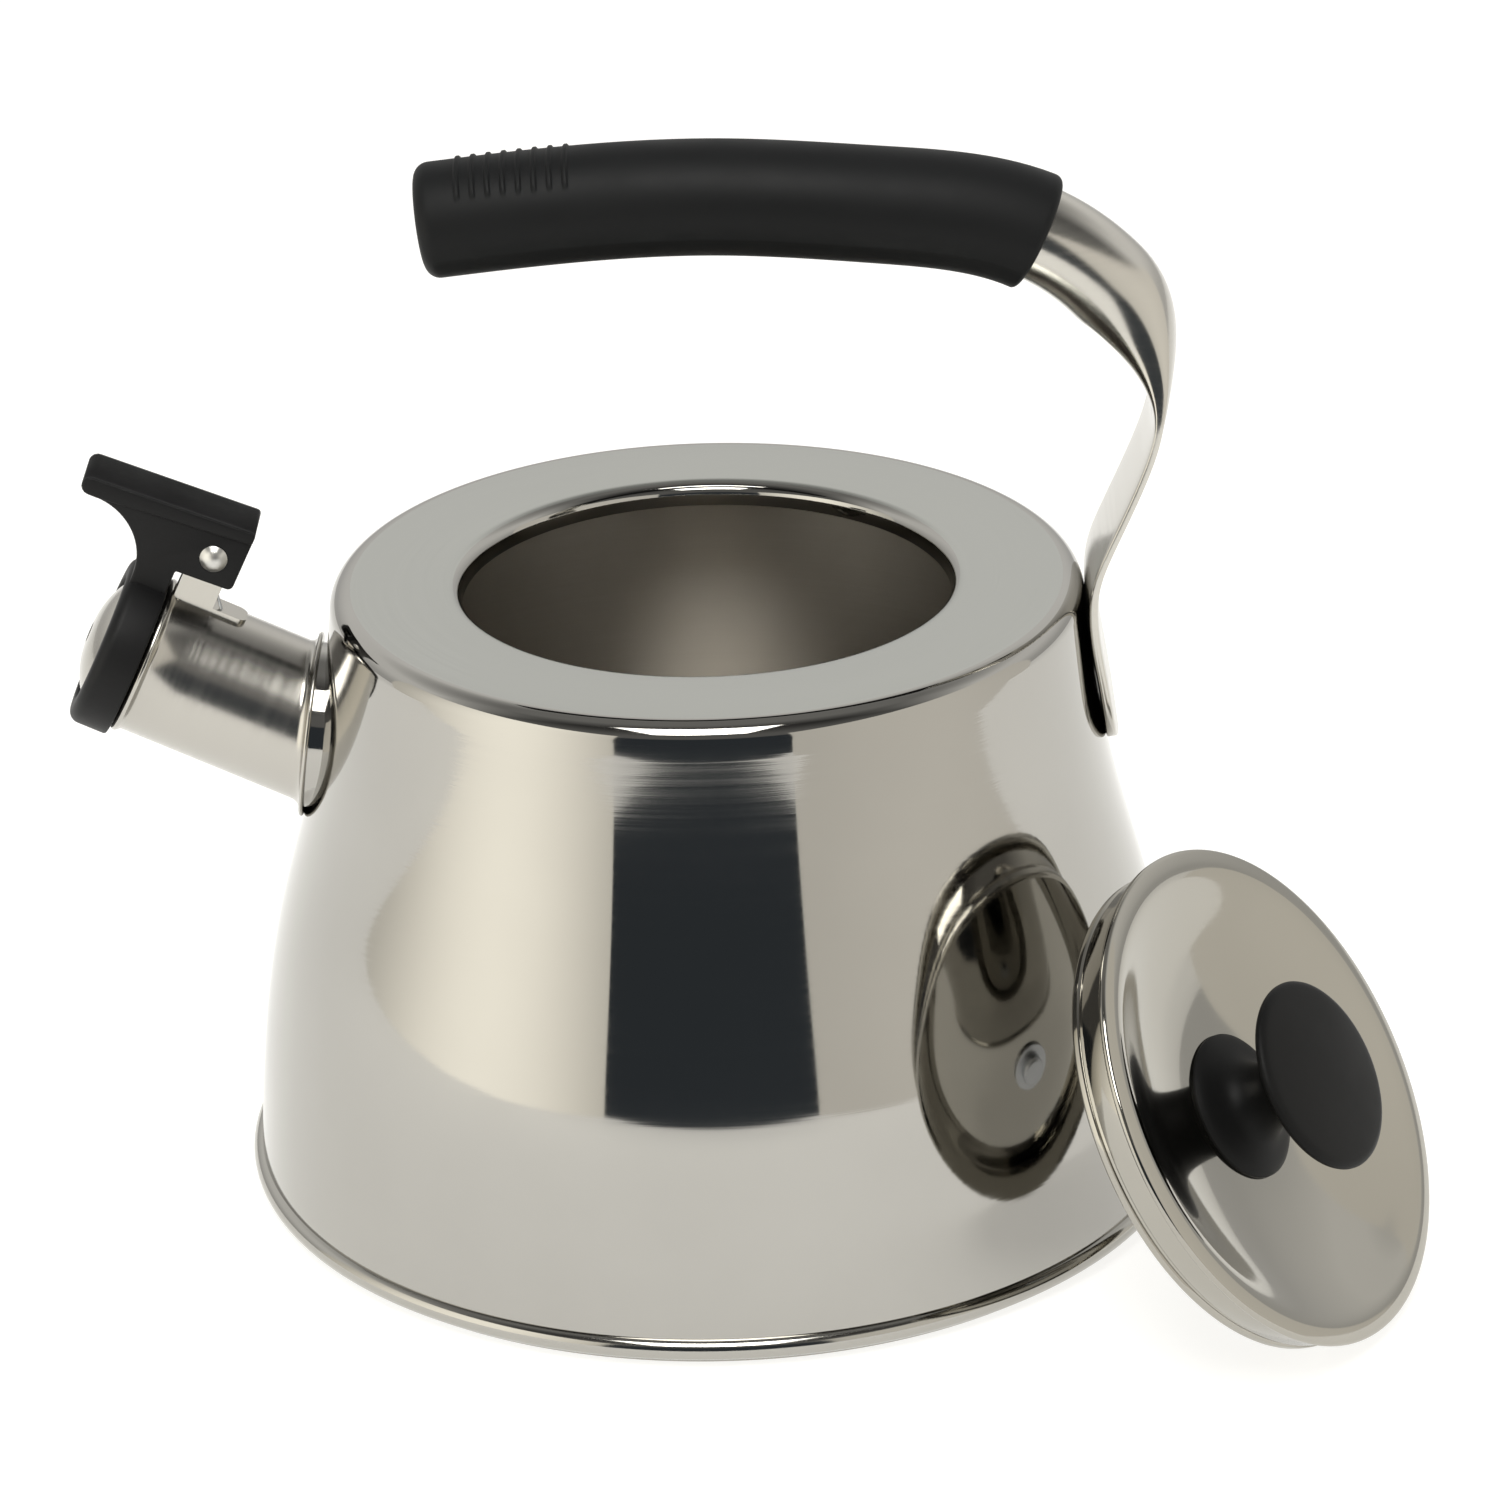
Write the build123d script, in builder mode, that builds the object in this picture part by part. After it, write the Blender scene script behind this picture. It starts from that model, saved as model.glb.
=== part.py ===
from build123d import *
import os
from math import atan2, cos, degrees, pi, radians, sin

# Stovetop whistling kettle with its lid set down beside it.
# Millimetres. Origin on the counter under the centre of the base, +Z up,
# the spout towards -X and the root of the handle towards +X.

# ---- body ----------------------------------------------------------------
base_radius = 100.0          # outside of the bead round the base
body_height = 130.4          # top ring above the counter
shoulder_radius = 77.6       # where the wall turns into the top ring
shoulder_fillet = 4.4
mouth_radius = 50.4
mouth_bend = 3.2             # outside of the bend from the ring into the collar
collar_depth = 5.0           # short upright collar inside the mouth
wall = 0.8
wall_lean_top = 5.9          # degrees from upright under the shoulder
wall_lean_foot = 3.7
bulge_top = 0.54             # handles of the wall curve, as shares of its chord
bulge_foot = 0.57

# ---- base ----------------------------------------------------------------
bead_thickness = 4.6         # rolled seam, across
bead_lift = 3.8              # its centre above the counter
seam_step = 0.4              # wall outside the centre of the bead
pan_thickness = 0.8
cover_thickness = 0.5
cover_rim = 0.8              # chamfer round the cover's foot
spreader_thickness = 2.5
spreader_inset = 8.0         # edge of the spreader inside the bead's outside
cover_inset = 3.1            # edge of the cover inside the bead's outside

# ---- spout ---------------------------------------------------------------
spout_radius = 16.0          # outside of the tube
spout_wall = 0.8
spout_rise = 25.5            # degrees above level
spout_height = 97.8          # centre of the flange above the counter
spout_reach = 39.2           # from there along the tube to the cap
flange_radius = 19.3
flange_thickness = 0.9
flange_fillet = 2.0
flange_gap = 1.15            # flange stands this far off the wall at its middle
flange_lean = 8.3            # its face from upright: its lower edge rests on the wall
neck_margin = 1.4            # pulled neck of the wall, outside the tube
neck_pull = 14.0             # depth that the neck is drawn from, trimmed inside
lip_radius = 0.85            # rolled lip at the mouth of the tube
cap_gap = 0.3                # between the lip and the shut cap

# ---- whistle cap and thumb lever -------------------------------------------
cap_radius = 18.3
cap_length = 8.6
cap_edge = 2.4               # round of the front edge
cap_recess = 15.6            # seat for the whistle discs
cap_window = 13.6            # front opening
cap_front_lip = 1.6
pivot_back = 5.8             # rivet behind the back face of the cap
pivot_up = 28.5              # rivet above the axis of the spout
arm_back = 0.3               # back of the arm before the cap's back face
lever_rear = 11.8            # rear of the thumb plate behind it
lever_nose = 25.4            # nose of the thumb plate before it
plate_rear_height = 37.2
plate_front_height = 35.0
plate_thickness = 2.4
plate_width = 14.0
cheek_width = 12.8
cheek_foot = 22.6            # underside of the cheeks above the spout's axis
hollow_radius = 13.0         # hollow under the nose
hollow_front = 21.0          # centre of the hollow before the cap's back face
slot_side = 0.25             # slot to bracket, each side
slot_roof = 4.6              # above the rivet
hollow_sink = 0.3            # foot of the hollow below the top of the cap
arm_sink = 1.0               # arm goes this far into the ring of the cap
cheek_slope = 0.6            # rise of the cheeks' underside towards the rear
nose_round = 0.8             # half the depth of the nose, in plate thicknesses

# ---- whistle ---------------------------------------------------------------
disc_thickness = 0.5
disc_clearance = 0.2
disc_dome = 4.0
disc_rim = 0.5               # flat ring left inside the window
whistle_hole = 2.2
keeper_thickness = 1.2

# ---- hinge ---------------------------------------------------------------
bracket_width = 6.4
bracket_sheet = 0.8
bracket_foot = 15.8
foot_corner = 2.0
ear_radius = 4.2
rivet_radius = 1.5
rivet_clearance = 0.05
rivet_head_radius = 2.85
rivet_head_height = 1.3
rivet_end_play = 0.1
spring_wire = 0.6
spring_radius = 2.2
spring_pitch = 0.8
spring_turns = 4.25
spring_start = -36.9         # degrees round the rivet from straight out
spring_steps = 12            # points drawn to each turn
roof_leg_length = 3.5        # leg under the thumb plate

# ---- handle --------------------------------------------------------------
tube_diameter = 19.4
tube_wall = 1.0
strap_width = 28.0
strap_thickness = 2.4
strap_top = 124.0            # where it meets the wall
strap_end = 94.5             # its lower end above the counter
flat_start = 193.0           # the tube starts to flatten below this height
flat_end = 164.0             # and is a flat strap from here down
grip_diameter = 23.4
grip_flare = 1.0             # wider by this at the end that the steel leaves
grip_crown = 211.9           # centre of the grip at its highest
grip_crown_x = 5.0
grip_left = -55.4            # closed end of the grip
grip_right = 68.5            # open end
grip_left_drop = 4.1         # how far the centre falls from the crown to each end
grip_right_drop = 8.75
grip_round = 3.0
grip_end_round = 1.2         # round of the open end
grip_end_wall = 4.0
strap_pad = 0.5              # inner side swells to meet the round wall
strap_corner = 12.0          # corners of its lower end
pad_fade = 10.0              # height over which the swelling grows
edge_share = 0.49            # round of the flat steel's edges, as a share of its thickness
handle_bend = (              # middle of the steel between the grip and the wall, x and z
    (80.5, 194.7),
    (89.6, 182.1),
    (92.4, 168.0),
    (89.3, 155.4),
    (82.3, 139.0),
    (79.4, 130.5),
)
handle_stations = 40
grip_stations = 8
bore_end = 172.0             # the hollow pinches shut below this height
plug_head = 1.5
plug_depth = 8.0

# ---- lid -----------------------------------------------------------------
lid_radius = 52.0
lid_sheet = 0.6
lid_roll = 0.9               # radius of the rolled rim
lid_dish = 7.4               # centre below the rim
lid_clearance = 0.4          # collar inside the mouth
skirt_depth = 9.4
skirt_sheet = 0.7
skirt_groove = 0.5           # bead rolled into the collar
groove_start = 0.7           # its top and foot, as shares of the collar's depth
groove_stop = 0.8
lip_round = 0.9              # lower edge of the collar, turned in
knob_radius = 19.6
knob_base_radius = 15.1
knob_waist = 7.2
knob_rim_height = 14.3       # top edge of the knob above the rim of the lid
knob_crown = 1.2             # its middle above that edge
knob_foot_rise = 0.8         # upright foot of the knob above the dish
knob_flare = ((0.66, 0.71), (0.93, 0.81), (1.0, 0.91), (0.91, 1.0))  # shares of its radius and height
knob_foot = (0.6, 0.45)      # shares of the foot's radius and of the dish
waist_share = 0.35           # height of the waist, as a share of the knob's
insert_radius = 4.0
insert_length = 10.0
insert_lift = 1.5            # its foot above the bottom of the dish
head_round = 0.4             # round of the screw's head, as a share of its height
screw_radius = 2.5
screw_clearance = 0.25
screw_length = 11.0
screw_head_radius = 4.6
screw_head_height = 2.6
washer_radius = 7.5
washer_thickness = 1.0
lid_bearing = -27.0          # degrees, where the knob points as seen from above
lid_rise = 32.5              # degrees above level that it points
lid_x = 111.6                # centre of the lid's rim
lid_y = -74.6

os.makedirs("parts", exist_ok=True)
across = Vector(0, 1, 0)
lean_top = radians(wall_lean_top)
lean_foot = radians(wall_lean_foot)
bead_radius = bead_thickness / 2
bead_centre = base_radius - bead_radius
bead_foot = bead_lift - bead_radius
wall_foot = bead_lift + bead_radius
shell_foot = bead_lift - bead_radius / 4
collar_foot = body_height - collar_depth


def wall_curve(depth):
    """Foot, its handle, top handle and top of the wall curve, this far under the outside skin."""
    top = Vector(
        shoulder_radius - depth * cos(lean_top),
        body_height - shoulder_fillet + (shoulder_fillet - depth) * sin(lean_top),
    )
    foot = Vector(bead_centre + seam_step - depth, wall_foot)
    chord = (top - foot).length
    foot_handle = foot + Vector(-sin(lean_foot), cos(lean_foot)) * bulge_foot * chord
    top_handle = top + Vector(sin(lean_top), -cos(lean_top)) * bulge_top * chord
    return foot, foot_handle, top_handle, top


def wall_point(height):
    """Radius of the outside of the wall at a height, and how far it leans in there, in degrees."""
    a, b, c, d = wall_curve(0)
    low, high = 0.0, 1.0
    for _ in range(50):
        t = (low + high) / 2
        s = 1 - t
        point = a * s**3 + b * 3 * s * s * t + c * 3 * s * t * t + d * t**3
        if point.Y < height:
            low = t
        else:
            high = t
    run = (b - a) * s * s + (c - b) * 2 * s * t + (d - c) * t * t
    return point.X, degrees(atan2(-run.X, run.Y))


def draw_skin(depth, inner_radius):
    """Draw the skin from the foot of the wall, up over the shoulder and in to a radius."""
    foot, foot_handle, top_handle, top = wall_curve(depth)
    arc_radius = shoulder_fillet - depth
    centre = Vector(shoulder_radius - shoulder_fillet * cos(lean_top), body_height - shoulder_fillet)
    halfway = (pi / 2 + lean_top) / 2
    crest = centre + Vector(0, arc_radius)
    Line((foot.X, shell_foot), foot)
    Bezier(foot, foot_handle, top_handle, top)
    ThreePointArc(top, centre + Vector(cos(halfway), sin(halfway)) * arc_radius, crest)
    Line(crest, (inner_radius, body_height - depth))


def draw_mouth(depth):
    """Draw the bend from the top ring down into the collar."""
    bend = mouth_bend - depth
    centre = Vector(mouth_radius + mouth_bend, body_height - mouth_bend)
    start = centre + Vector(0, bend)
    end = centre - Vector(bend, 0)
    ThreePointArc(start, centre + Vector(-sin(pi / 4), sin(pi / 4)) * bend, end)
    Line(end, (mouth_radius + depth, collar_foot))


# ---- solids that cuts are made with: the whole outside, and the space inside
with BuildPart() as body_outside:
    with BuildSketch(Plane.XZ):
        with BuildLine():
            draw_skin(0, 0)
            Polyline((0, body_height), (0, shell_foot), (wall_curve(0)[0].X, shell_foot))
        make_face()
    revolve(axis=Axis.Z)

with BuildPart() as body_inside:
    with BuildSketch(Plane.XZ):
        with BuildLine():
            draw_skin(wall, 0)
            Polyline((0, body_height - wall), (0, shell_foot), (wall_curve(wall)[0].X, shell_foot))
        make_face()
    revolve(axis=Axis.Z)

# ---- body shell ------------------------------------------------------------
# The spout points out along its tube, and its flange stands nearly along the wall.
rise = radians(spout_rise)
flange_rise = radians(flange_lean)
spout_out = Vector(-cos(rise), 0, sin(rise))
spout_up = Vector(sin(rise), 0, cos(rise))
flange_out = Vector(-cos(flange_rise), 0, sin(flange_rise))
flange_seat = Vector(-wall_point(spout_height)[0], 0, spout_height) + flange_out * flange_gap
flange_plane = Plane(origin=flange_seat, x_dir=across, z_dir=flange_out)
spout_plane = Plane(origin=flange_seat, x_dir=across, z_dir=spout_out)
bore_radius = spout_radius - spout_wall

with BuildPart() as neck:
    with BuildSketch(flange_plane):
        Circle(spout_radius + neck_margin)
    extrude(amount=-neck_pull)
    add(body_inside.part, mode=Mode.SUBTRACT)

with BuildPart() as body_shell:
    with BuildSketch(Plane.XZ):
        with BuildLine():
            draw_skin(0, mouth_radius + mouth_bend)
            draw_mouth(0)
            draw_skin(wall, mouth_radius + mouth_bend)
            draw_mouth(wall)
            Line((mouth_radius, collar_foot), (mouth_radius + wall, collar_foot))
            Line((wall_curve(0)[0].X, shell_foot), (wall_curve(wall)[0].X, shell_foot))
        make_face()
    revolve(axis=Axis.Z)
    add(neck.part)
    with BuildSketch(spout_plane):
        Circle(bore_radius)
    extrude(amount=1.5 * neck_pull, both=True, mode=Mode.SUBTRACT)
body_shell.part.label = "body_shell"
export_step(body_shell.part, "parts/body_shell.step")

# ---- base: pan rolled round the shell, heat spreader, cover -----------------
spreader_radius = base_radius - spreader_inset
cover_radius = base_radius - cover_inset
pan_underside = cover_thickness + spreader_thickness
with BuildPart() as base_pan:
    with BuildSketch(Plane.XZ):
        with BuildLine():
            Polyline(
                (0, pan_underside),
                (spreader_radius, pan_underside),
                (spreader_radius + pan_thickness, bead_foot),
                (bead_centre, bead_foot),
                (bead_centre, bead_foot + pan_thickness),
                (spreader_radius + 2 * pan_thickness, bead_foot + pan_thickness),
                (spreader_radius + pan_thickness, pan_underside + pan_thickness),
                (0, pan_underside + pan_thickness),
                close=True,
            )
        make_face()
        with Locations((bead_centre, bead_lift)):
            Circle(bead_radius)
    revolve(axis=Axis.Z)
    add(body_shell.part, mode=Mode.SUBTRACT)
base_pan.part.label = "base_pan"
export_step(base_pan.part, "parts/base_pan.step")

with BuildPart() as heat_spreader:
    with BuildSketch(Plane.XY.offset(cover_thickness)):
        Circle(spreader_radius)
    extrude(amount=spreader_thickness)
heat_spreader.part.label = "heat_spreader"
export_step(heat_spreader.part, "parts/heat_spreader.step")

with BuildPart() as base_cover:
    with BuildSketch(Plane.XZ):
        with BuildLine():
            Polyline(
                (0, 0),
                (cover_radius - cover_rim, 0),
                (cover_radius, cover_rim),
                (cover_radius, bead_foot),
                (spreader_radius, bead_foot),
                (spreader_radius, cover_thickness),
                (0, cover_thickness),
                close=True,
            )
        make_face()
    revolve(axis=Axis.Z)
    add(base_pan.part, mode=Mode.SUBTRACT)
base_cover.part.label = "base_cover"
export_step(base_cover.part, "parts/base_cover.step")

# ---- spout tube with its flange and rolled lip ------------------------------
lip_centre = spout_reach - cap_gap - lip_radius
spout_axis = Axis(flange_seat, spout_out)
with BuildPart() as spout_tube:
    with BuildSketch(spout_plane.offset(-neck_pull)):
        Circle(spout_radius)
    extrude(amount=lip_centre + neck_pull)
    split(bisect_by=flange_plane, keep=Keep.TOP)
    with BuildSketch(flange_plane):
        Circle(flange_radius)
    extrude(amount=flange_thickness)
    ellipses = spout_tube.edges().filter_by(GeomType.ELLIPSE)
    fillet(ellipses.sort_by(Axis(flange_seat, flange_out))[-1], flange_fillet)
    with BuildSketch(Plane(origin=flange_seat, x_dir=spout_out, z_dir=across)):
        with Locations((lip_centre, spout_radius)):
            Circle(lip_radius)
    revolve(axis=spout_axis)
    with BuildSketch(spout_plane.offset(-neck_pull)):
        Circle(bore_radius)
    extrude(amount=spout_reach + neck_pull, mode=Mode.SUBTRACT)
    add(body_outside.part, mode=Mode.SUBTRACT)
spout_tube.part.label = "spout_tube"
export_step(spout_tube.part, "parts/spout_tube.step")

# ---- whistle cap and thumb lever, one moulding ------------------------------
# Side outlines are drawn with x out along the spout from the cap's back face
# and y up from the spout's axis.
cap_back = flange_seat + spout_out * spout_reach
cap_axis = Axis(cap_back, spout_out)
cap_plane = Plane(origin=cap_back, x_dir=across, z_dir=spout_out)
lever_plane = Plane(origin=cap_back, x_dir=spout_out, z_dir=across)
pivot_point = cap_back - spout_out * pivot_back + spout_up * pivot_up
rivet_plane = Plane(origin=pivot_point, x_dir=spout_out, z_dir=across)
recess_depth = cap_length - cap_front_lip
nose_back = lever_nose - plate_thickness
hollow_foot = cap_radius - hollow_sink
hollow_top = (hollow_front, hollow_foot + hollow_radius)
plate_rear = (-lever_rear, plate_rear_height)


def draw_thumb_plate():
    """The top of the lever from the side: straight above, round at the nose."""
    above = (nose_back, plate_front_height)
    tip = (lever_nose, plate_front_height - nose_round * plate_thickness)
    below = (nose_back, plate_front_height - 2 * nose_round * plate_thickness)
    Line(plate_rear, above)
    ThreePointArc(above, tip, below)
    Line(below, hollow_top)


with BuildPart() as cap_ring:
    with BuildSketch(cap_plane):
        Circle(cap_radius)
    extrude(amount=cap_length)
    front_edges = cap_ring.edges().filter_by(GeomType.CIRCLE)
    fillet(front_edges.sort_by(cap_axis)[-1], cap_edge)

with BuildPart() as whistle_lever:
    with BuildSketch(lever_plane):
        with BuildLine():
            draw_thumb_plate()
            ThreePointArc(
                hollow_top,
                (hollow_front - hollow_radius * cos(pi / 4), hollow_foot + hollow_radius * sin(pi / 4)),
                (hollow_front - hollow_radius, hollow_foot),
            )
            Polyline(
                (hollow_front - hollow_radius, hollow_foot),
                (hollow_front - hollow_radius, cap_recess - arm_sink),
                (arm_back, cap_recess - arm_sink),
                (arm_back, cheek_foot),
                (-lever_rear, cheek_foot + cheek_slope),
                plate_rear,
            )
        make_face()
    extrude(amount=cheek_width / 2, both=True)
    with BuildSketch(lever_plane):
        with BuildLine():
            draw_thumb_plate()
            Polyline(hollow_top, (-lever_rear, plate_rear_height - plate_thickness), plate_rear)
        make_face()
    extrude(amount=plate_width / 2, both=True)
    add(cap_ring.part)
    with BuildSketch(cap_plane.offset(-arm_sink)):
        Circle(cap_recess)
    extrude(amount=arm_sink + recess_depth, mode=Mode.SUBTRACT)
    with BuildSketch(cap_plane):
        Circle(cap_window)
    extrude(amount=cap_length, mode=Mode.SUBTRACT)
    # slot that the hinge bracket stands in
    with BuildSketch(lever_plane):
        with BuildLine():
            Polyline(
                (arm_back, cheek_foot - ear_radius),
                (arm_back, pivot_up + slot_roof),
                (-2 * lever_rear, pivot_up + slot_roof),
                (-2 * lever_rear, cheek_foot - ear_radius),
                close=True,
            )
        make_face()
    extrude(amount=bracket_width / 2 + slot_side, both=True, mode=Mode.SUBTRACT)
    with BuildSketch(rivet_plane):
        Circle(rivet_radius + rivet_clearance)
    extrude(amount=plate_width, both=True, mode=Mode.SUBTRACT)
whistle_lever.part.label = "whistle_lever"
export_step(whistle_lever.part, "parts/whistle_lever.step")

# ---- whistle: two pierced discs and the ring that keeps them in -------------
disc_radius = cap_recess - disc_clearance
disc_edge = cap_window - disc_rim


def draw_disc(rim_height, crown):
    """Section of a pressed disc: a flat rim, then a dome that rises by crown at its hole."""
    middle = (disc_edge + whistle_hole) / 2
    for height in (rim_height, rim_height + disc_thickness):
        halfway = height + crown * (1 - (middle / disc_edge) ** 2)
        ThreePointArc((height, disc_edge), (halfway, middle), (height + crown, whistle_hole))
        Line((height, disc_edge), (height, disc_radius))
    Line((rim_height, disc_radius), (rim_height + disc_thickness, disc_radius))
    Line((rim_height + crown, whistle_hole), (rim_height + crown + disc_thickness, whistle_hole))


with BuildPart() as whistle_front_disc:
    with BuildSketch(lever_plane):
        with BuildLine():
            draw_disc(recess_depth - disc_thickness, disc_dome)
        make_face()
    revolve(axis=cap_axis)
whistle_front_disc.part.label = "whistle_front_disc"
export_step(whistle_front_disc.part, "parts/whistle_front_disc.step")

with BuildPart() as whistle_back_disc:
    with BuildSketch(lever_plane):
        with BuildLine():
            draw_disc(recess_depth - 2 * disc_thickness, -disc_dome / 2)
        make_face()
    revolve(axis=cap_axis)
whistle_back_disc.part.label = "whistle_back_disc"
export_step(whistle_back_disc.part, "parts/whistle_back_disc.step")

with BuildPart() as whistle_keeper:
    with BuildSketch(cap_plane.offset(recess_depth - 2 * disc_thickness)):
        Circle(cap_recess)
        Circle(cap_window, mode=Mode.SUBTRACT)
    extrude(amount=-keeper_thickness)
whistle_keeper.part.label = "whistle_keeper"
export_step(whistle_keeper.part, "parts/whistle_keeper.step")

# ---- hinge bracket, rivet and return spring ---------------------------------
ear_front = ear_radius - pivot_back
foot_plane = Plane(
    origin=cap_back + spout_out * ear_front + spout_up * (spout_radius + bracket_sheet),
    x_dir=spout_out,
    z_dir=spout_up,
)
with BuildPart() as hinge_bracket:
    for side in (-1, 1):
        with BuildSketch(rivet_plane.offset(side * (bracket_width - bracket_sheet) / 2)):
            Circle(ear_radius)
            with Locations((0, -(pivot_up - spout_radius) / 2)):
                Rectangle(2 * ear_radius, pivot_up - spout_radius)
        extrude(amount=bracket_sheet / 2, both=True)
    with BuildSketch(foot_plane):
        with Locations((-bracket_foot / 2, 0)):
            RectangleRounded(bracket_foot, bracket_width, foot_corner)
    extrude(amount=-2 * bracket_sheet)
    with BuildSketch(spout_plane):
        Circle(spout_radius)
    extrude(amount=spout_reach, mode=Mode.SUBTRACT)
    with BuildSketch(rivet_plane):
        Circle(rivet_radius)
    extrude(amount=bracket_width, both=True, mode=Mode.SUBTRACT)
    add(spout_tube.part, mode=Mode.SUBTRACT)
hinge_bracket.part.label = "hinge_bracket"
export_step(hinge_bracket.part, "parts/hinge_bracket.step")

head_seat = cheek_width / 2 + rivet_end_play
head_top = head_seat + rivet_head_height
dome_radius = (rivet_head_radius**2 + rivet_head_height**2) / (2 * rivet_head_height)
dome_angle = atan2(rivet_head_radius, dome_radius - rivet_head_height) / 2
dome_middle = (dome_radius * sin(dome_angle), head_top - dome_radius * (1 - cos(dome_angle)))
with BuildPart() as hinge_rivet:
    with BuildSketch(Plane(origin=pivot_point, x_dir=spout_out, z_dir=-spout_up)):
        with BuildLine():
            ThreePointArc((0, -head_top), (dome_middle[0], -dome_middle[1]), (rivet_head_radius, -head_seat))
            Polyline(
                (rivet_head_radius, -head_seat),
                (rivet_radius, -head_seat),
                (rivet_radius, head_seat),
                (rivet_head_radius, head_seat),
            )
            ThreePointArc((rivet_head_radius, head_seat), dome_middle, (0, head_top))
            Line((0, head_top), (0, -head_top))
        make_face()
    revolve(axis=Axis(pivot_point, across))
hinge_rivet.part.label = "hinge_rivet"
export_step(hinge_rivet.part, "parts/hinge_rivet.step")


def round_pivot(angle, offset, radius=spring_radius):
    """A point at an angle round the rivet, in degrees, and a distance along it."""
    turn = radians(angle)
    return pivot_point + (spout_out * cos(turn) + spout_up * sin(turn)) * radius + across * offset


coil_end = spring_start + 360 * spring_turns
coil_half = spring_pitch * spring_turns / 2
coil_points = []
for step in range(int(spring_steps * spring_turns) + 1):
    done = step / int(spring_steps * spring_turns)
    coil_points.append(round_pivot(spring_start + 360 * spring_turns * done, coil_half * (2 * done - 1)))
foot_leg = (round_pivot(spring_start - 90, 0, 1) - pivot_point).normalized()
roof_leg = (round_pivot(coil_end + 90, 0, 1) - pivot_point).normalized()
foot_leg_height = pivot_up + spring_radius * sin(radians(spring_start)) - spout_radius - bracket_sheet
spring_foot = coil_points[0] + foot_leg * foot_leg_height / cos(radians(spring_start))
with BuildPart() as lever_spring:
    with BuildLine():
        Line(spring_foot, coil_points[0])
        Spline(*coil_points, tangents=(-foot_leg, roof_leg))
        Line(coil_points[-1], coil_points[-1] + roof_leg * roof_leg_length)
    with BuildSketch(Plane(origin=spring_foot, x_dir=across, z_dir=-foot_leg)):
        Circle(spring_wire / 2)
    sweep()
    add(hinge_bracket.part, mode=Mode.SUBTRACT)
lever_spring.part.label = "lever_spring"
export_step(lever_spring.part, "parts/lever_spring.step")

# ---- handle: one steel tube, round in the grip and flat where it is welded ---
wall_heights = (strap_top, (strap_top + strap_end) / 2, strap_end - 1)
grip_points = []
for x in (grip_left, grip_left / 2, grip_crown_x, (grip_crown_x + grip_right) / 2, grip_right):
    if x < grip_crown_x:
        drop = grip_left_drop * ((grip_crown_x - x) / (grip_crown_x - grip_left)) ** 2
    else:
        drop = grip_right_drop * ((x - grip_crown_x) / (grip_right - grip_crown_x)) ** 2
    grip_points.append((x, 0, grip_crown - drop))
strap_points = []
for height in wall_heights:
    radius, lean = wall_point(height)
    off_wall = strap_thickness / 2
    strap_points.append((radius + off_wall * cos(radians(lean)), 0, height + off_wall * sin(radians(lean))))
bend_points = [(x, 0, z) for x, z in handle_bend]
handle_line = Spline(*grip_points, *bend_points, *strap_points)


def share_at(x):
    """Share of the handle line's length at which it reaches x, within the grip."""
    low, high = 0.0, 0.5
    for _ in range(40):
        middle = (low + high) / 2
        if (handle_line @ middle).X < x:
            low = middle
        else:
            high = middle
    return low


def plane_at(share):
    """Plane square to the handle line, with y to the outer side of the bend."""
    return Plane(origin=handle_line @ share, x_dir=across, z_dir=handle_line % share)


def eased(height, start, end):
    """0 above start, 1 below end, smooth in between."""
    part = min(max((start - height) / (start - end), 0), 1)
    return part * part * (3 - 2 * part)


def draw_steel(height, inset):
    """Section of the steel at a height, this far inside its surface."""
    flat = eased(height, flat_start, flat_end)
    pad = strap_pad * eased(height, handle_bend[-1][1] + pad_fade, strap_top)
    thick = tube_diameter - (tube_diameter - strap_thickness) * flat + pad - 2 * inset
    wide = tube_diameter + (strap_width - tube_diameter) * flat - 2 * inset
    with Locations((0, -pad / 2)):
        RectangleRounded(wide, thick, edge_share * thick)


tube_start = share_at(grip_left + grip_end_wall)
stations = [tube_start + (1 - tube_start) * i / handle_stations for i in range(handle_stations + 1)]
with BuildPart() as handle_core:
    for share in stations:
        with BuildSketch(plane_at(share)):
            draw_steel((handle_line @ share).Z, 0)
    loft()

with BuildPart() as handle_bore:
    for share in stations:
        if (handle_line @ share).Z > bore_end:
            with BuildSketch(plane_at(share)):
                draw_steel((handle_line @ share).Z, tube_wall)
    loft()

with BuildPart() as handle_tube:
    add(handle_core.part)
    add(handle_bore.part, mode=Mode.SUBTRACT)
    with BuildSketch(Plane.YZ):
        with Locations((0, strap_end)):
            Rectangle(2 * strap_width, 2 * strap_corner)
        with Locations((0, strap_end + strap_width)):
            RectangleRounded(strap_width, 2 * strap_width, strap_corner, mode=Mode.SUBTRACT)
    extrude(amount=base_radius, mode=Mode.SUBTRACT)
    add(body_outside.part, mode=Mode.SUBTRACT)
handle_tube.part.label = "handle_tube"
export_step(handle_tube.part, "parts/handle_tube.step")

with BuildPart() as tube_plug:
    add(handle_bore.part)
    split(bisect_by=plane_at(tube_start).offset(plug_depth), keep=Keep.BOTTOM)
    with BuildSketch(plane_at(tube_start)):
        draw_steel((handle_line @ tube_start).Z, tube_wall / 2)
    extrude(amount=-plug_head)
tube_plug.part.label = "tube_plug"
export_step(tube_plug.part, "parts/tube_plug.step")

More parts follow.
